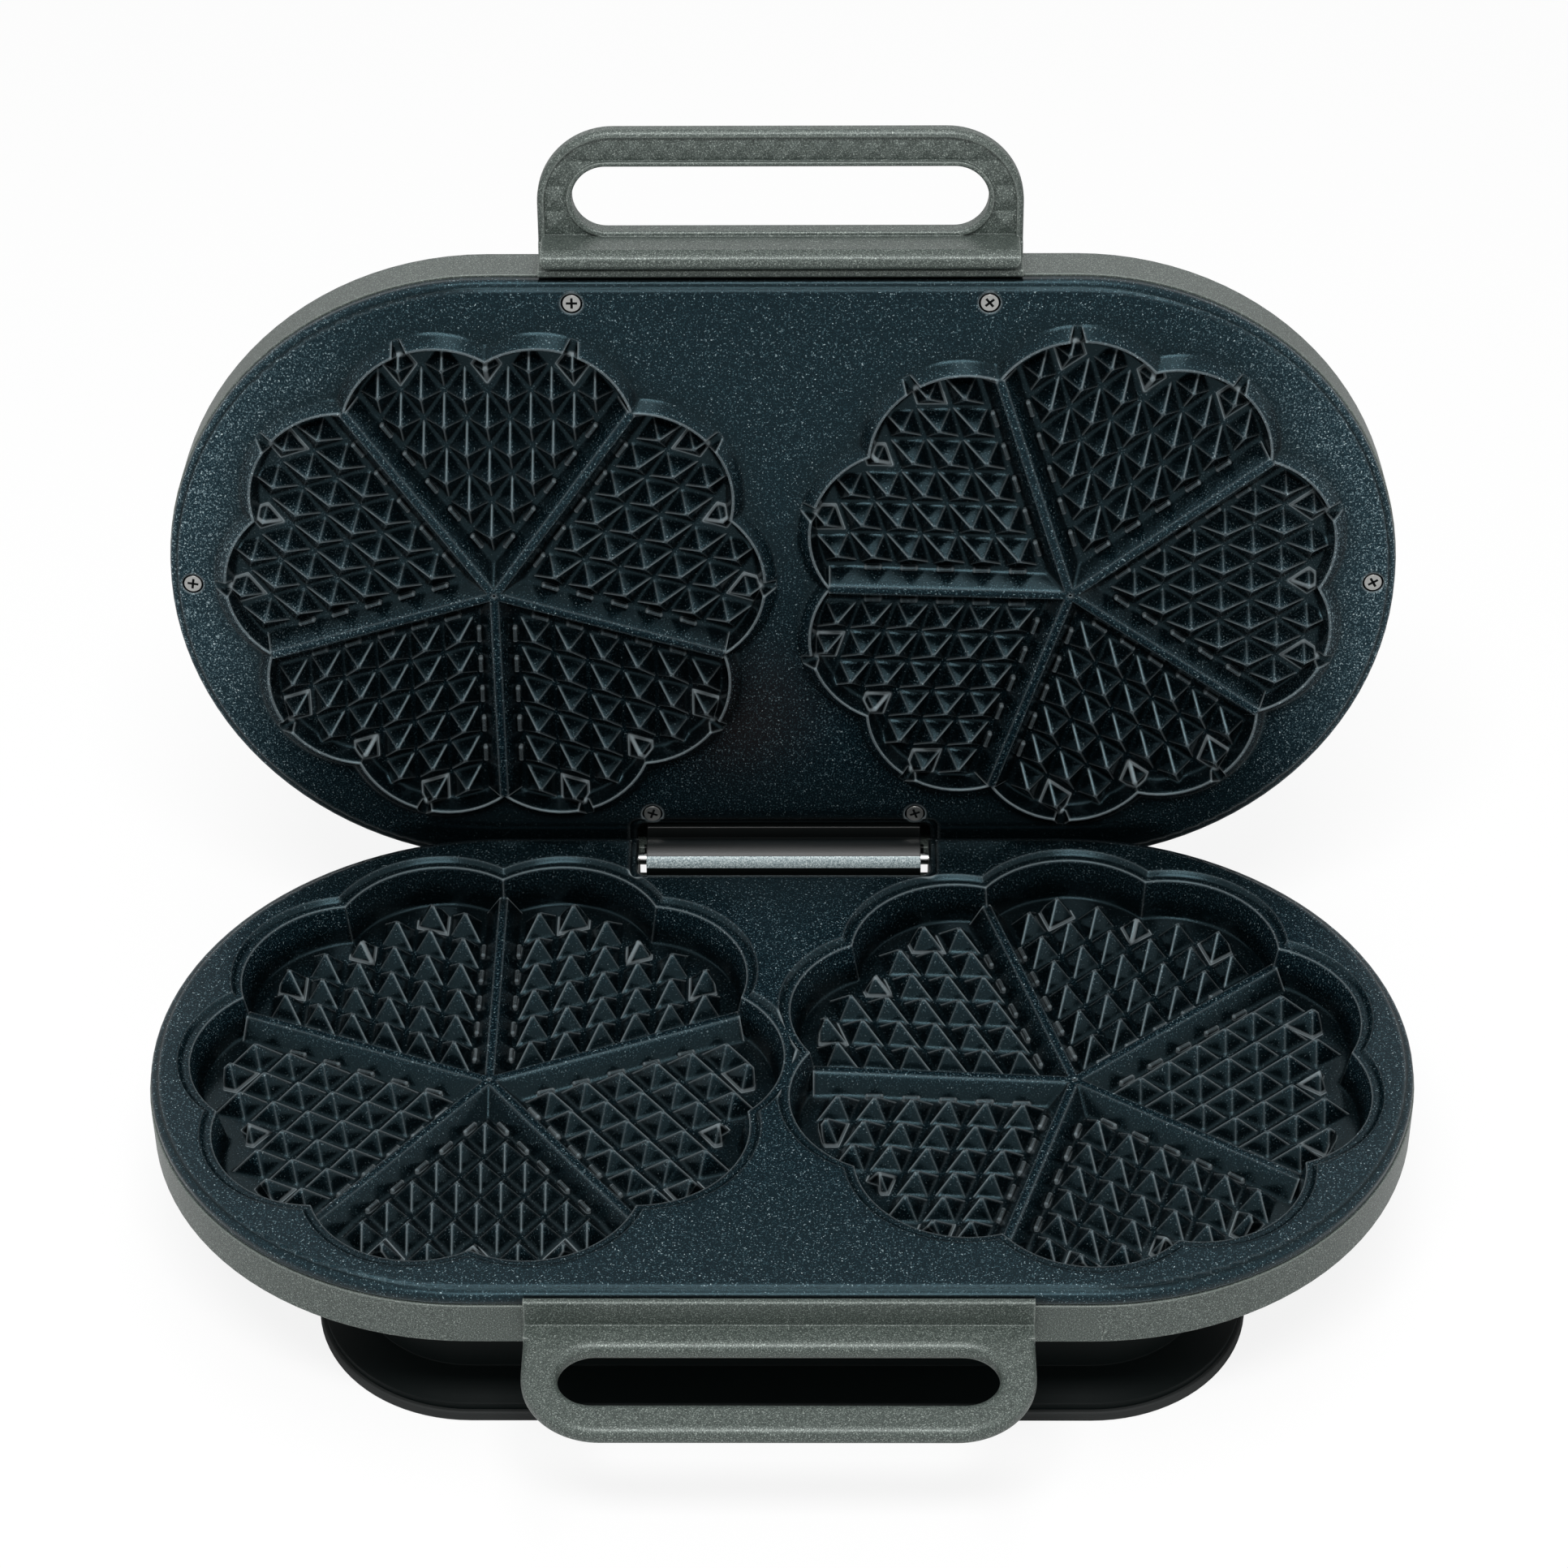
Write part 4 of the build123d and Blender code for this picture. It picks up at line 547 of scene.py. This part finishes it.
def bevelled_box(size, place, width):
    """A small box with its edges cut at 45 degrees."""
    shape = bmesh.new()
    bmesh.ops.create_cube(shape, size=1.0, matrix=place @ Matrix.Diagonal((*size, 1)))
    bmesh.ops.bevel(
        shape,
        geom=shape.edges[:],
        affect="EDGES",
        offset=width,
        segments=1,
        profile=0.5,
        material=-1,
        clamp_overlap=True,
    )
    return shape


def heart_frames(turns):
    """Each heart's own frame on the face, with +X out along the heart's axis."""
    for centre_x, turn in zip((-FLOWER_X, FLOWER_X), turns):
        for number in range(HEARTS):
            clock = turn + RIB_ANGLE * (2 * number + 1)
            turned = Matrix.Rotation(radians(90 - clock), 4, "Z")
            yield Matrix.Translation((centre_x, 0, 0)) @ turned


def upper_tip_level(radius):
    """Height of the pyramids' tips above the lid plate's face."""
    return DOME_TOP - DOME_FALL * radius


def lower_tip_level(radius):
    """Height of the tips on the base plate, a plate gap away from those on the lid."""
    return LOWER_FACE_OFFSET - upper_tip_level(radius) - PLATE_GAP


def outline_radius(angle):
    """Radius of the flower's outline at an angle from a heart's axis."""
    share = abs(angle) / RIB_ANGLE
    cusps = HEART_CUSP_RADIUS + (RIB_CUSP_RADIUS - HEART_CUSP_RADIUS) * share
    bulge = LOBE_RADIUS - (RIB_CUSP_RADIUS + HEART_CUSP_RADIUS) / 2
    return cusps + bulge * sin(radians(180 * share))


def lobe_circle(inset):
    """Centre and radius of the arc through a lobe's two cusps and its crown."""
    points = []
    cusps_and_crown = (
        (RIB_CUSP_RADIUS, RIB_ANGLE),
        (LOBE_RADIUS, RIB_ANGLE / 2),
        (HEART_CUSP_RADIUS, 0),
    )
    for radius, angle in cusps_and_crown:
        points.append(Vector((radius - inset, 0)) @ Matrix.Rotation(radians(-angle), 2))
    a, b, c = points
    area = 2 * (a.x * (b.y - c.y) + b.x * (c.y - a.y) + c.x * (a.y - b.y))
    squares = (a.length_squared, b.length_squared, c.length_squared)
    x = (squares[0] * (b.y - c.y) + squares[1] * (c.y - a.y) + squares[2] * (a.y - b.y)) / area
    y = (squares[0] * (c.x - b.x) + squares[1] * (a.x - c.x) + squares[2] * (b.x - a.x)) / area
    centre = Vector((x, y))
    return centre, (a - centre).length


def edge_cells():
    """Cells that the outline cuts: along, aside, side of the heart's axis, and how much lower."""
    cells = []
    along = FIRST_TIP
    row = 0
    while along < LOBE_RADIUS + CELL_ALONG:
        for column in range(row + 1):
            aside = CELL_ACROSS * (row - 2 * column)
            radius = hypot(along, aside)
            room = outline_radius(degrees(atan2(aside, along))) - RIDGE_FOOT - radius
            if FARTHEST_TIP < room <= TIP_EDGE_ROOM:
                sunk = LOW_TIP_DROP if room < LOW_TIP_ROOM else 0.0
                on_axis = abs(aside) < 0.1
                sides = (1, -1) if on_axis else (1 if aside > 0 else -1,)
                cells += [(along, aside, side, sunk) for side in sides]
        along += CELL_ALONG
        row += 1
    return cells


def cut_pyramid(along, aside, side, sunk, tip_level, inset):
    """A pyramid of the field, cut where it meets the wall of its lobe."""
    reach = hypot(along, aside)
    tip = tip_level(reach) - sunk
    height = tip - tip_level(min(reach, DOME_RADIUS)) + PYRAMID_HEIGHT + PYRAMID_ROOT
    half_width = TIP_HALF_WIDTH + height * PYRAMID_SLOPE
    stretch = (half_width / sin(radians(RIB_ANGLE)), half_width / cos(radians(RIB_ANGLE)), height)
    middle = Vector((along, aside, tip - height / 2))
    shape = bmesh.new()
    bmesh.ops.create_cone(
        shape,
        cap_ends=True,
        segments=4,
        radius1=1.0,
        radius2=TIP_HALF_WIDTH / half_width,
        depth=1.0,
        matrix=Matrix.Translation(middle) @ Matrix.Diagonal((*stretch, 1)),
    )
    centre, radius = lobe_circle(inset)
    centre = Vector((centre.x, side * centre.y, 0))
    heading = atan2(aside - centre.y, along - centre.x)
    cuts = [(Vector((0, 0, 0)), Vector((0, -side, 0)))]
    for step in WALL_CUTS:
        angle = heading + radians(WALL_CUT_STEP * step)
        outward = Vector((cos(angle), sin(angle), 0))
        cuts.append((centre + outward * radius, outward))
    for point, outward in cuts:
        bmesh.ops.bisect_plane(
            shape,
            geom=[*shape.verts, *shape.edges, *shape.faces],
            dist=0.0001,
            plane_co=point,
            plane_no=outward,
            clear_outer=True,
        )
        rim = [edge for edge in shape.edges if edge.is_boundary]
        if rim:
            bmesh.ops.holes_fill(shape, edges=rim, sides=0)
    return shape


def mould_relief(turns, tip_level, inset):
    """The cut pyramids along a plate's outlines and the low bars beside its ribs."""
    relief = bmesh.new()
    hearts = list(heart_frames(turns))
    for cell in edge_cells():
        for heart in hearts:
            shape = cut_pyramid(*cell, tip_level, inset)
            if len(shape.faces) > 3 and abs(shape.calc_volume()) > SMALLEST_PIECE:
                add_shape(relief, shape, heart)
            else:
                shape.free()
    for heart in hearts:
        for side in (1, -1):
            rib = Matrix.Rotation(radians(side * RIB_ANGLE), 4, "Z")
            for number in range(RIB_BARS):
                reach = FIRST_RIB_BAR + RIB_BAR_PITCH * number
                floor = tip_level(min(reach, DOME_RADIUS)) - PYRAMID_HEIGHT
                middle = (reach, -side * RIB_BAR_ASIDE, floor + RIB_BAR_RISE)
                place = rib @ Matrix.Translation(middle)
                add_shape(relief, bevelled_box(RIB_BAR, place, RIB_BAR_BEVEL), heart)
    return relief


class PlateLook(bpy.types.PropertyGroup):
    coating_roughness: FloatProperty(
        name="Coating roughness", description="Roughness of the non-stick coating", default=0.26
    )
    # Roughness in the moulds, which are darkened as painted shade.
    mould_roughness: FloatProperty(
        name="Mould roughness", description="Roughness in the moulds", default=0.13
    )
    coating_gloss: FloatProperty(
        name="Coating gloss", description="Specular level of the coating", default=0.32
    )
    sheen_colour: StringProperty(
        name="Sheen colour", description="Tint of the coating's reflections", default="#A4D0DE"
    )
    # How much proud edges are painted lighter, as wear and as painted highlight.
    edge_wear_and_highlight: FloatProperty(
        name="Edge wear and highlight", description="How light the coating is along its edges", default=0.36
    )
    stain_place: FloatVectorProperty(
        name="Stain place",
        description="Middle of the baked-on oil stain",
        subtype="TRANSLATION",
        default=(-0.016, 0.115, 0.118),
    )
    stain_size: FloatProperty(
        name="Stain size", description="Reach of the stain", subtype="DISTANCE", default=0.045
    )


class HousingLook(bpy.types.PropertyGroup):
    foot_colour: StringProperty(
        name="Foot colour", description="Colour of the pedestal", default="#060D0D"
    )
    ring_colour: StringProperty(
        name="Ring colour", description="Colour of the rubber ring", default="#101515"
    )
    knob_colour: StringProperty(
        name="Knob colour", description="Colour of the knob", default="#131415"
    )


class StudioLook(bpy.types.PropertyGroup):
    world_level: FloatProperty(
        name="Fill", description="Strength of the even light from all sides", default=0.38
    )
    key_power: FloatProperty(
        name="Key softbox",
        description="Power of the light in front",
        subtype="POWER",
        default=26.0,
    )
    top_power: FloatProperty(
        name="Overhead softbox",
        description="Power of the light above",
        subtype="POWER",
        default=5.0,
    )


class WAFFLE_OT_plates(bpy.types.Operator):
    """Coat both cooking plates and add the fine relief of their moulds"""

    bl_idname = "waffle.plates"
    bl_label = "Cooking plates"

    def execute(self, context):
        coating = nonstick_coating(context.scene.waffle_plates)
        dress(("lower_plate", "upper_plate"), coating)
        relief = mould_relief(UPPER_TURNS, upper_tip_level, UPPER_WALL_INSET)
        finish_piece(relief, "upper_mould_relief", LID_FRAME, coating, "lid")
        relief = mould_relief(LOWER_TURNS, lower_tip_level, LOWER_WALL_INSET)
        finish_piece(relief, "lower_mould_relief", BASE_FRAME, coating, "base")
        return {"FINISHED"}


class WAFFLE_OT_housings(bpy.types.Operator):
    """Paint the housings and the handles"""

    bl_idname = "waffle.housings"
    bl_label = "Housings and handles"

    def execute(self, context):
        paint = flecked_paint(
            "flecked_paint_on_abs", "#232926", "#454E4A", "#57615C", "#B4BDB7", 0.2
        )
        dress(("base_housing", "lid_shell", "lower_handle", "upper_handle"), paint)
        return {"FINISHED"}


class WAFFLE_OT_hinge(bpy.types.Operator):
    """Paint the lid's hinge tongue near-black, with a painted highlight: a bright flecked strip
    across its front
    """

    bl_idname = "waffle.hinge"
    bl_label = "Hinge tongue"

    def execute(self, context):
        material = frame["nodes"]["lid_shell"].data.materials[0].copy()
        material.name = "flecked_paint_on_abs_with_dark_tongue_and_painted_highlight"
        tree = material.node_tree
        shader = tree.nodes["Principled BSDF"]
        painted = shader.inputs["Base Color"].links[0].from_socket
        place = add_node(tree, "ShaderNodeTexCoord")
        offset = add_node(
            tree,
            "ShaderNodeVectorMath",
            settings={"operation": "SUBTRACT"},
            values={1: HINGE},
            links={0: (place, "Object")},
        )
        flat = add_node(
            tree,
            "ShaderNodeVectorMath",
            settings={"operation": "MULTIPLY"},
            values={1: (0.0, 1.0, 1.0)},
            links={0: (offset, "Vector")},
        )
        reach = add_node(
            tree,
            "ShaderNodeVectorMath",
            settings={"operation": "LENGTH"},
            links={0: (flat, "Vector")},
        )
        near = add_node(
            tree,
            "ShaderNodeMath",
            settings={"operation": "LESS_THAN"},
            values={1: TONGUE_RADIUS * MM},
            links={0: (reach, "Value")},
        )
        sides = add_node(tree, "ShaderNodeSeparateXYZ", links={"Vector": (offset, "Vector")})
        across = add_node(
            tree, "ShaderNodeMath", settings={"operation": "ABSOLUTE"}, links={0: (sides, "X")}
        )
        within = add_node(
            tree,
            "ShaderNodeMath",
            settings={"operation": "LESS_THAN"},
            values={1: TONGUE_HALF_LENGTH * MM},
            links={0: (across, "Value")},
        )
        tongue = add_node(
            tree,
            "ShaderNodeMath",
            settings={"operation": "MULTIPLY"},
            links={0: (near, "Value"), 1: (within, "Value")},
        )
        # Painted highlight: a bright flecked strip across the front of the tongue, where a front
        # light glints.
        tilt = radians(HIGHLIGHT_STRIP_TILT)
        strip_out = (0, -cos(tilt), sin(tilt))
        strip_up = (0, sin(tilt), cos(tilt))
        outward = add_node(
            tree,
            "ShaderNodeVectorMath",
            settings={"operation": "DOT_PRODUCT"},
            values={1: strip_out},
            links={0: (offset, "Vector")},
        )
        upward = add_node(
            tree,
            "ShaderNodeVectorMath",
            settings={"operation": "DOT_PRODUCT"},
            values={1: strip_up},
            links={0: (offset, "Vector")},
        )
        in_front = add_node(
            tree,
            "ShaderNodeMath",
            settings={"operation": "GREATER_THAN"},
            values={1: HIGHLIGHT_STRIP_REACH * MM},
            links={0: (outward, "Value")},
        )
        level = add_node(
            tree,
            "ShaderNodeMath",
            settings={"operation": "ABSOLUTE"},
            links={0: (upward, "Value")},
        )
        narrow = add_node(
            tree,
            "ShaderNodeMath",
            settings={"operation": "LESS_THAN"},
            values={1: HIGHLIGHT_STRIP_HALF_WIDTH * MM},
            links={0: (level, "Value")},
        )
        highlight_strip = add_node(
            tree,
            "ShaderNodeMath",
            settings={"operation": "MULTIPLY"},
            links={0: (in_front, "Value"), 1: (narrow, "Value")},
        )
        flake = add_node(
            tree,
            "ShaderNodeTexNoise",
            values={"Scale": 1 / (0.5 * MM), "Detail": 2.0, "Roughness": 0.85},
            links={"Vector": (place, "Object")},
        )
        bright = colour_ramp(tree, (flake, "Fac"), HIGHLIGHT_STRIP_STOPS)
        # The tongue is painted near-black around the painted highlight.
        dark_with_highlight = add_node(
            tree,
            "ShaderNodeMix",
            settings={"data_type": "RGBA"},
            values={"A": srgb("#030606")},
            links={"Factor": (highlight_strip, "Value"), "B": (bright, "Color")},
        )
        both = add_node(
            tree,
            "ShaderNodeMix",
            settings={"data_type": "RGBA"},
            links={"Factor": (tongue, "Value"), "B": (dark_with_highlight, "Result")},
        )
        tree.links.new(painted, both.inputs["A"])
        tree.links.new(both.outputs["Result"], shader.inputs["Base Color"])
        dress(("lid_shell",), material)
        return {"FINISHED"}


class WAFFLE_OT_crosses(bpy.types.Operator):
    """Lay dark crosses in the heads of the lid plate's screws, as painted shade of their cross
    recesses
    """

    bl_idname = "waffle.crosses"
    bl_label = "Screw crosses"

    def execute(self, context):
        # Painted shade: thin dark crosses stand in for the shade inside the cross recesses.
        recess_shade = worked_metal("painted_shade_of_cross_recesses", "#17191A", 0.5, (1, 1, 1))
        crosses = bmesh.new()
        for number, (x, y) in enumerate(LID_SCREWS):
            head = Matrix.Translation((x, y, -CROSS_DEPTH))
            turned = head @ Matrix.Rotation(CROSS_TURN * number, 4, "Z")
            for angle in (0, 90):
                place = turned @ Matrix.Rotation(radians(angle), 4, "Z")
                add_shape(crosses, bevelled_box(CROSS_ARM, Matrix(), CROSS_BEVEL), place)
        finish_piece(crosses, "lid_screw_cross_shade", LID_FRAME, recess_shade, "lid")
        return {"FINISHED"}


class WAFFLE_OT_foot(bpy.types.Operator):
    """Finish the pedestal, its cover, the gland and the rubber ring"""

    bl_idname = "waffle.foot"
    bl_label = "Foot"

    def execute(self, context):
        look = context.scene.waffle_housing
        dress(
            ("pedestal", "bottom_cover"),
            moulded_plastic("moulded_polypropylene_black", look.foot_colour, 0.45, 0.5, 0.12),
        )
        dress(
            ("foot_ring", "cord_gland"),
            moulded_plastic("moulded_nitrile_rubber", look.ring_colour, 0.72, 0.8),
        )
        return {"FINISHED"}


class WAFFLE_OT_metalwork(bpy.types.Operator):
    """Finish the pin, screws, heating tubes, reflectors and nut"""

    bl_idname = "waffle.metalwork"
    bl_label = "Metalwork"

    def execute(self, context):
        dress(
            [
                name
                for name in frame["nodes"]
                if name.endswith("_screws") or name in ("thermostat_nut", "thermostat_shaft")
            ],
            worked_metal("zinc_plated_steel", "#B9BAB8", 0.3, (1, 1, 1)),
        )
        dress(("hinge_pin",), worked_metal("drawn_steel_rod", "#C4C5C4", 0.22, (0.05, 1, 1)))
        dress(
            ("lower_heater", "upper_heater"),
            worked_metal("heat_tinted_steel_tube", "#6B6259", 0.42, (1, 1, 1)),
        )
        dress(
            ("lower_reflector", "upper_reflector"),
            worked_metal("pressed_aluminium_sheet", "#D2D3D5", 0.28, (0.08, 1, 1)),
        )
        return {"FINISHED"}


class WAFFLE_OT_control(bpy.types.Operator):
    """Finish the knob, lamps, thermostat, terminal block and leads"""

    bl_idname = "waffle.control"
    bl_label = "Control and wiring"

    def execute(self, context):
        look = context.scene.waffle_housing
        dress(
            ("temperature_knob",),
            moulded_plastic("moulded_phenolic_black", look.knob_colour, 0.35, 0.6),
        )
        dress(("thermostat_body",), moulded_plastic("moulded_phenolic_brown", "#3B2A20", 0.5, 0.6))
        dress(("terminal_block",), moulded_plastic("glazed_ceramic", "#E4E0D6", 0.2, 1.5))
        dress(
            ("base_wiring", "lid_wiring"),
            moulded_plastic("glass_fibre_sleeve", "#CFC8B8", 0.8, 0.9),
        )
        dress(("power_lamp",), lens_plastic("tinted_acrylic_red", "#D33A22"))
        dress(("ready_lamp",), lens_plastic("tinted_acrylic_green", "#3FA24A"))
        dress(("lamp_bulbs",), lens_plastic("clear_glass", "#F1EEE4"))
        return {"FINISHED"}


class WAFFLE_OT_stage(bpy.types.Operator):
    """Set the pale floor, the studio light and the camera"""

    bl_idname = "waffle.stage"
    bl_label = "Studio"

    def execute(self, context):
        scene = context.scene
        look = scene.waffle_studio
        scene.view_settings.view_transform = "Standard"
        shape = bmesh.new()
        bmesh.ops.create_grid(shape, x_segments=1, y_segments=1, size=FLOOR_HALF)
        mesh = bpy.data.meshes.new("studio_floor")
        shape.to_mesh(mesh)
        shape.free()
        floor = bpy.data.objects.new("studio_floor", mesh)
        scene.collection.objects.link(floor)
        mesh.materials.append(self.paper())
        self.surroundings(scene, look)
        self.softbox("key", KEY_PLACE, KEY_TARGET, KEY_SIZE, look.key_power)
        self.softbox(
            "overhead", OVERHEAD_PLACE, OVERHEAD_TARGET, OVERHEAD_SIZE, look.top_power
        )
        self.camera(scene)
        return {"FINISHED"}

    def paper(self):
        """White paper that stays white to the camera and keeps the object's shadow."""
        material = bpy.data.materials.new("white_paper")
        material.use_nodes = True
        tree = material.node_tree
        shader = tree.nodes["Principled BSDF"]
        shader.inputs["Roughness"].default_value = 0.9
        shader.inputs["Specular IOR Level"].default_value = 0.0
        shader.inputs["Emission Color"].default_value = (1, 1, 1, 1)
        ray = add_node(tree, "ShaderNodeLightPath")
        lift = add_node(
            tree,
            "ShaderNodeMath",
            settings={"operation": "MULTIPLY"},
            values={1: PAPER_LIFT},
            links={0: (ray, "Is Camera Ray")},
        )
        tree.links.new(lift.outputs["Value"], shader.inputs["Emission Strength"])
        paper = add_node(
            tree,
            "ShaderNodeMix",
            settings={"data_type": "RGBA"},
            values={"A": srgb(PAPER_COLOUR), "B": srgb(PAPER_UNDER_CAMERA)},
            links={"Factor": (ray, "Is Camera Ray")},
        )
        tree.links.new(paper.outputs["Result"], shader.inputs["Base Color"])
        return material

    def surroundings(self, scene, look):
        """An even white room: full white to the camera and in reflections, softer as light."""
        world = bpy.data.worlds.new("studio_room")
        scene.world = world
        world.use_nodes = True
        tree = world.node_tree
        back = tree.nodes["Background"]
        back.inputs["Color"].default_value = (1, 1, 1, 1)
        ray = add_node(tree, "ShaderNodeLightPath")
        seen = add_node(
            tree,
            "ShaderNodeMath",
            settings={"operation": "MAXIMUM"},
            links={0: (ray, "Is Camera Ray"), 1: (ray, "Is Glossy Ray")},
        )
        clear = add_node(
            tree,
            "ShaderNodeMath",
            settings={"operation": "MAXIMUM"},
            links={0: (seen, "Value"), 1: (ray, "Is Transmission Ray")},
        )
        level = add_node(
            tree,
            "ShaderNodeMapRange",
            values={"To Min": look.world_level, "To Max": 1.0},
            links={"Value": (clear, "Value")},
        )
        tree.links.new(level.outputs["Result"], back.inputs["Strength"])

    def softbox(self, name, place, target, size, power):
        """A rectangular area light aimed at a point."""
        light = bpy.data.lights.new(name, "AREA")
        light.shape = "RECTANGLE"
        light.size, light.size_y = size
        light.energy = power
        lamp = bpy.data.objects.new(name, light)
        bpy.context.scene.collection.objects.link(lamp)
        aim = Vector(target) - Vector(place)
        turned = aim.to_track_quat("-Z", "Y").to_matrix().to_4x4()
        lamp.matrix_world = Matrix.Translation(place) @ turned

    def camera(self, scene):
        """The photograph's view: pitched 39 degrees down, from 1.38 m away."""
        data = bpy.data.cameras.new("photo_view")
        data.sensor_width = 36.0
        data.lens = CAMERA_LENS
        camera = bpy.data.objects.new("photo_view", data)
        scene.collection.objects.link(camera)
        pitch = radians(CAMERA_PITCH)
        yaw = radians(CAMERA_YAW)
        roll = radians(CAMERA_ROLL)
        forward = Vector((-sin(yaw) * cos(pitch), cos(yaw) * cos(pitch), -sin(pitch)))
        right = Vector((cos(yaw), sin(yaw), 0))
        up = right.cross(forward)
        turned = right * cos(roll) + up * sin(roll)
        upright = up * cos(roll) - right * sin(roll)
        place = Matrix((turned, upright, -forward)).transposed().to_4x4()
        camera.matrix_world = Matrix.Translation(CAMERA_PLACE) @ place
        scene.camera = camera


STEPS = (
    WAFFLE_OT_plates,
    WAFFLE_OT_housings,
    WAFFLE_OT_hinge,
    WAFFLE_OT_foot,
    WAFFLE_OT_metalwork,
    WAFFLE_OT_crosses,
    WAFFLE_OT_control,
    WAFFLE_OT_stage,
)


class WAFFLE_PT_panel(bpy.types.Panel):
    """Lists the waffle maker's operators and looks"""

    bl_idname = "WAFFLE_PT_panel"
    bl_label = "Waffle maker"
    bl_space_type = "VIEW_3D"
    bl_region_type = "UI"
    bl_category = "Waffle maker"

    def draw(self, context):
        for step in STEPS:
            self.layout.operator(step.bl_idname)
        for look in ("waffle_plates", "waffle_housing", "waffle_studio"):
            settings = getattr(context.scene, look)
            for name in settings.bl_rna.properties.keys():
                if name not in ("rna_type", "name"):
                    self.layout.prop(settings, name)


CLASSES = (PlateLook, HousingLook, StudioLook, *STEPS, WAFFLE_PT_panel)


def register():
    for item in CLASSES:
        bpy.utils.register_class(item)
    bpy.types.Scene.waffle_plates = PointerProperty(type=PlateLook)
    bpy.types.Scene.waffle_housing = PointerProperty(type=HousingLook)
    bpy.types.Scene.waffle_studio = PointerProperty(type=StudioLook)


def unregister():
    del bpy.types.Scene.waffle_studio
    del bpy.types.Scene.waffle_housing
    del bpy.types.Scene.waffle_plates
    for item in reversed(CLASSES):
        bpy.utils.unregister_class(item)


def main():
    register()
    bpy.ops.waffle.plates()
    bpy.ops.waffle.housings()
    bpy.ops.waffle.hinge()
    bpy.ops.waffle.foot()
    bpy.ops.waffle.metalwork()
    bpy.ops.waffle.crosses()
    bpy.ops.waffle.control()
    bpy.ops.waffle.stage()


if __name__ == "__main__":
    main()
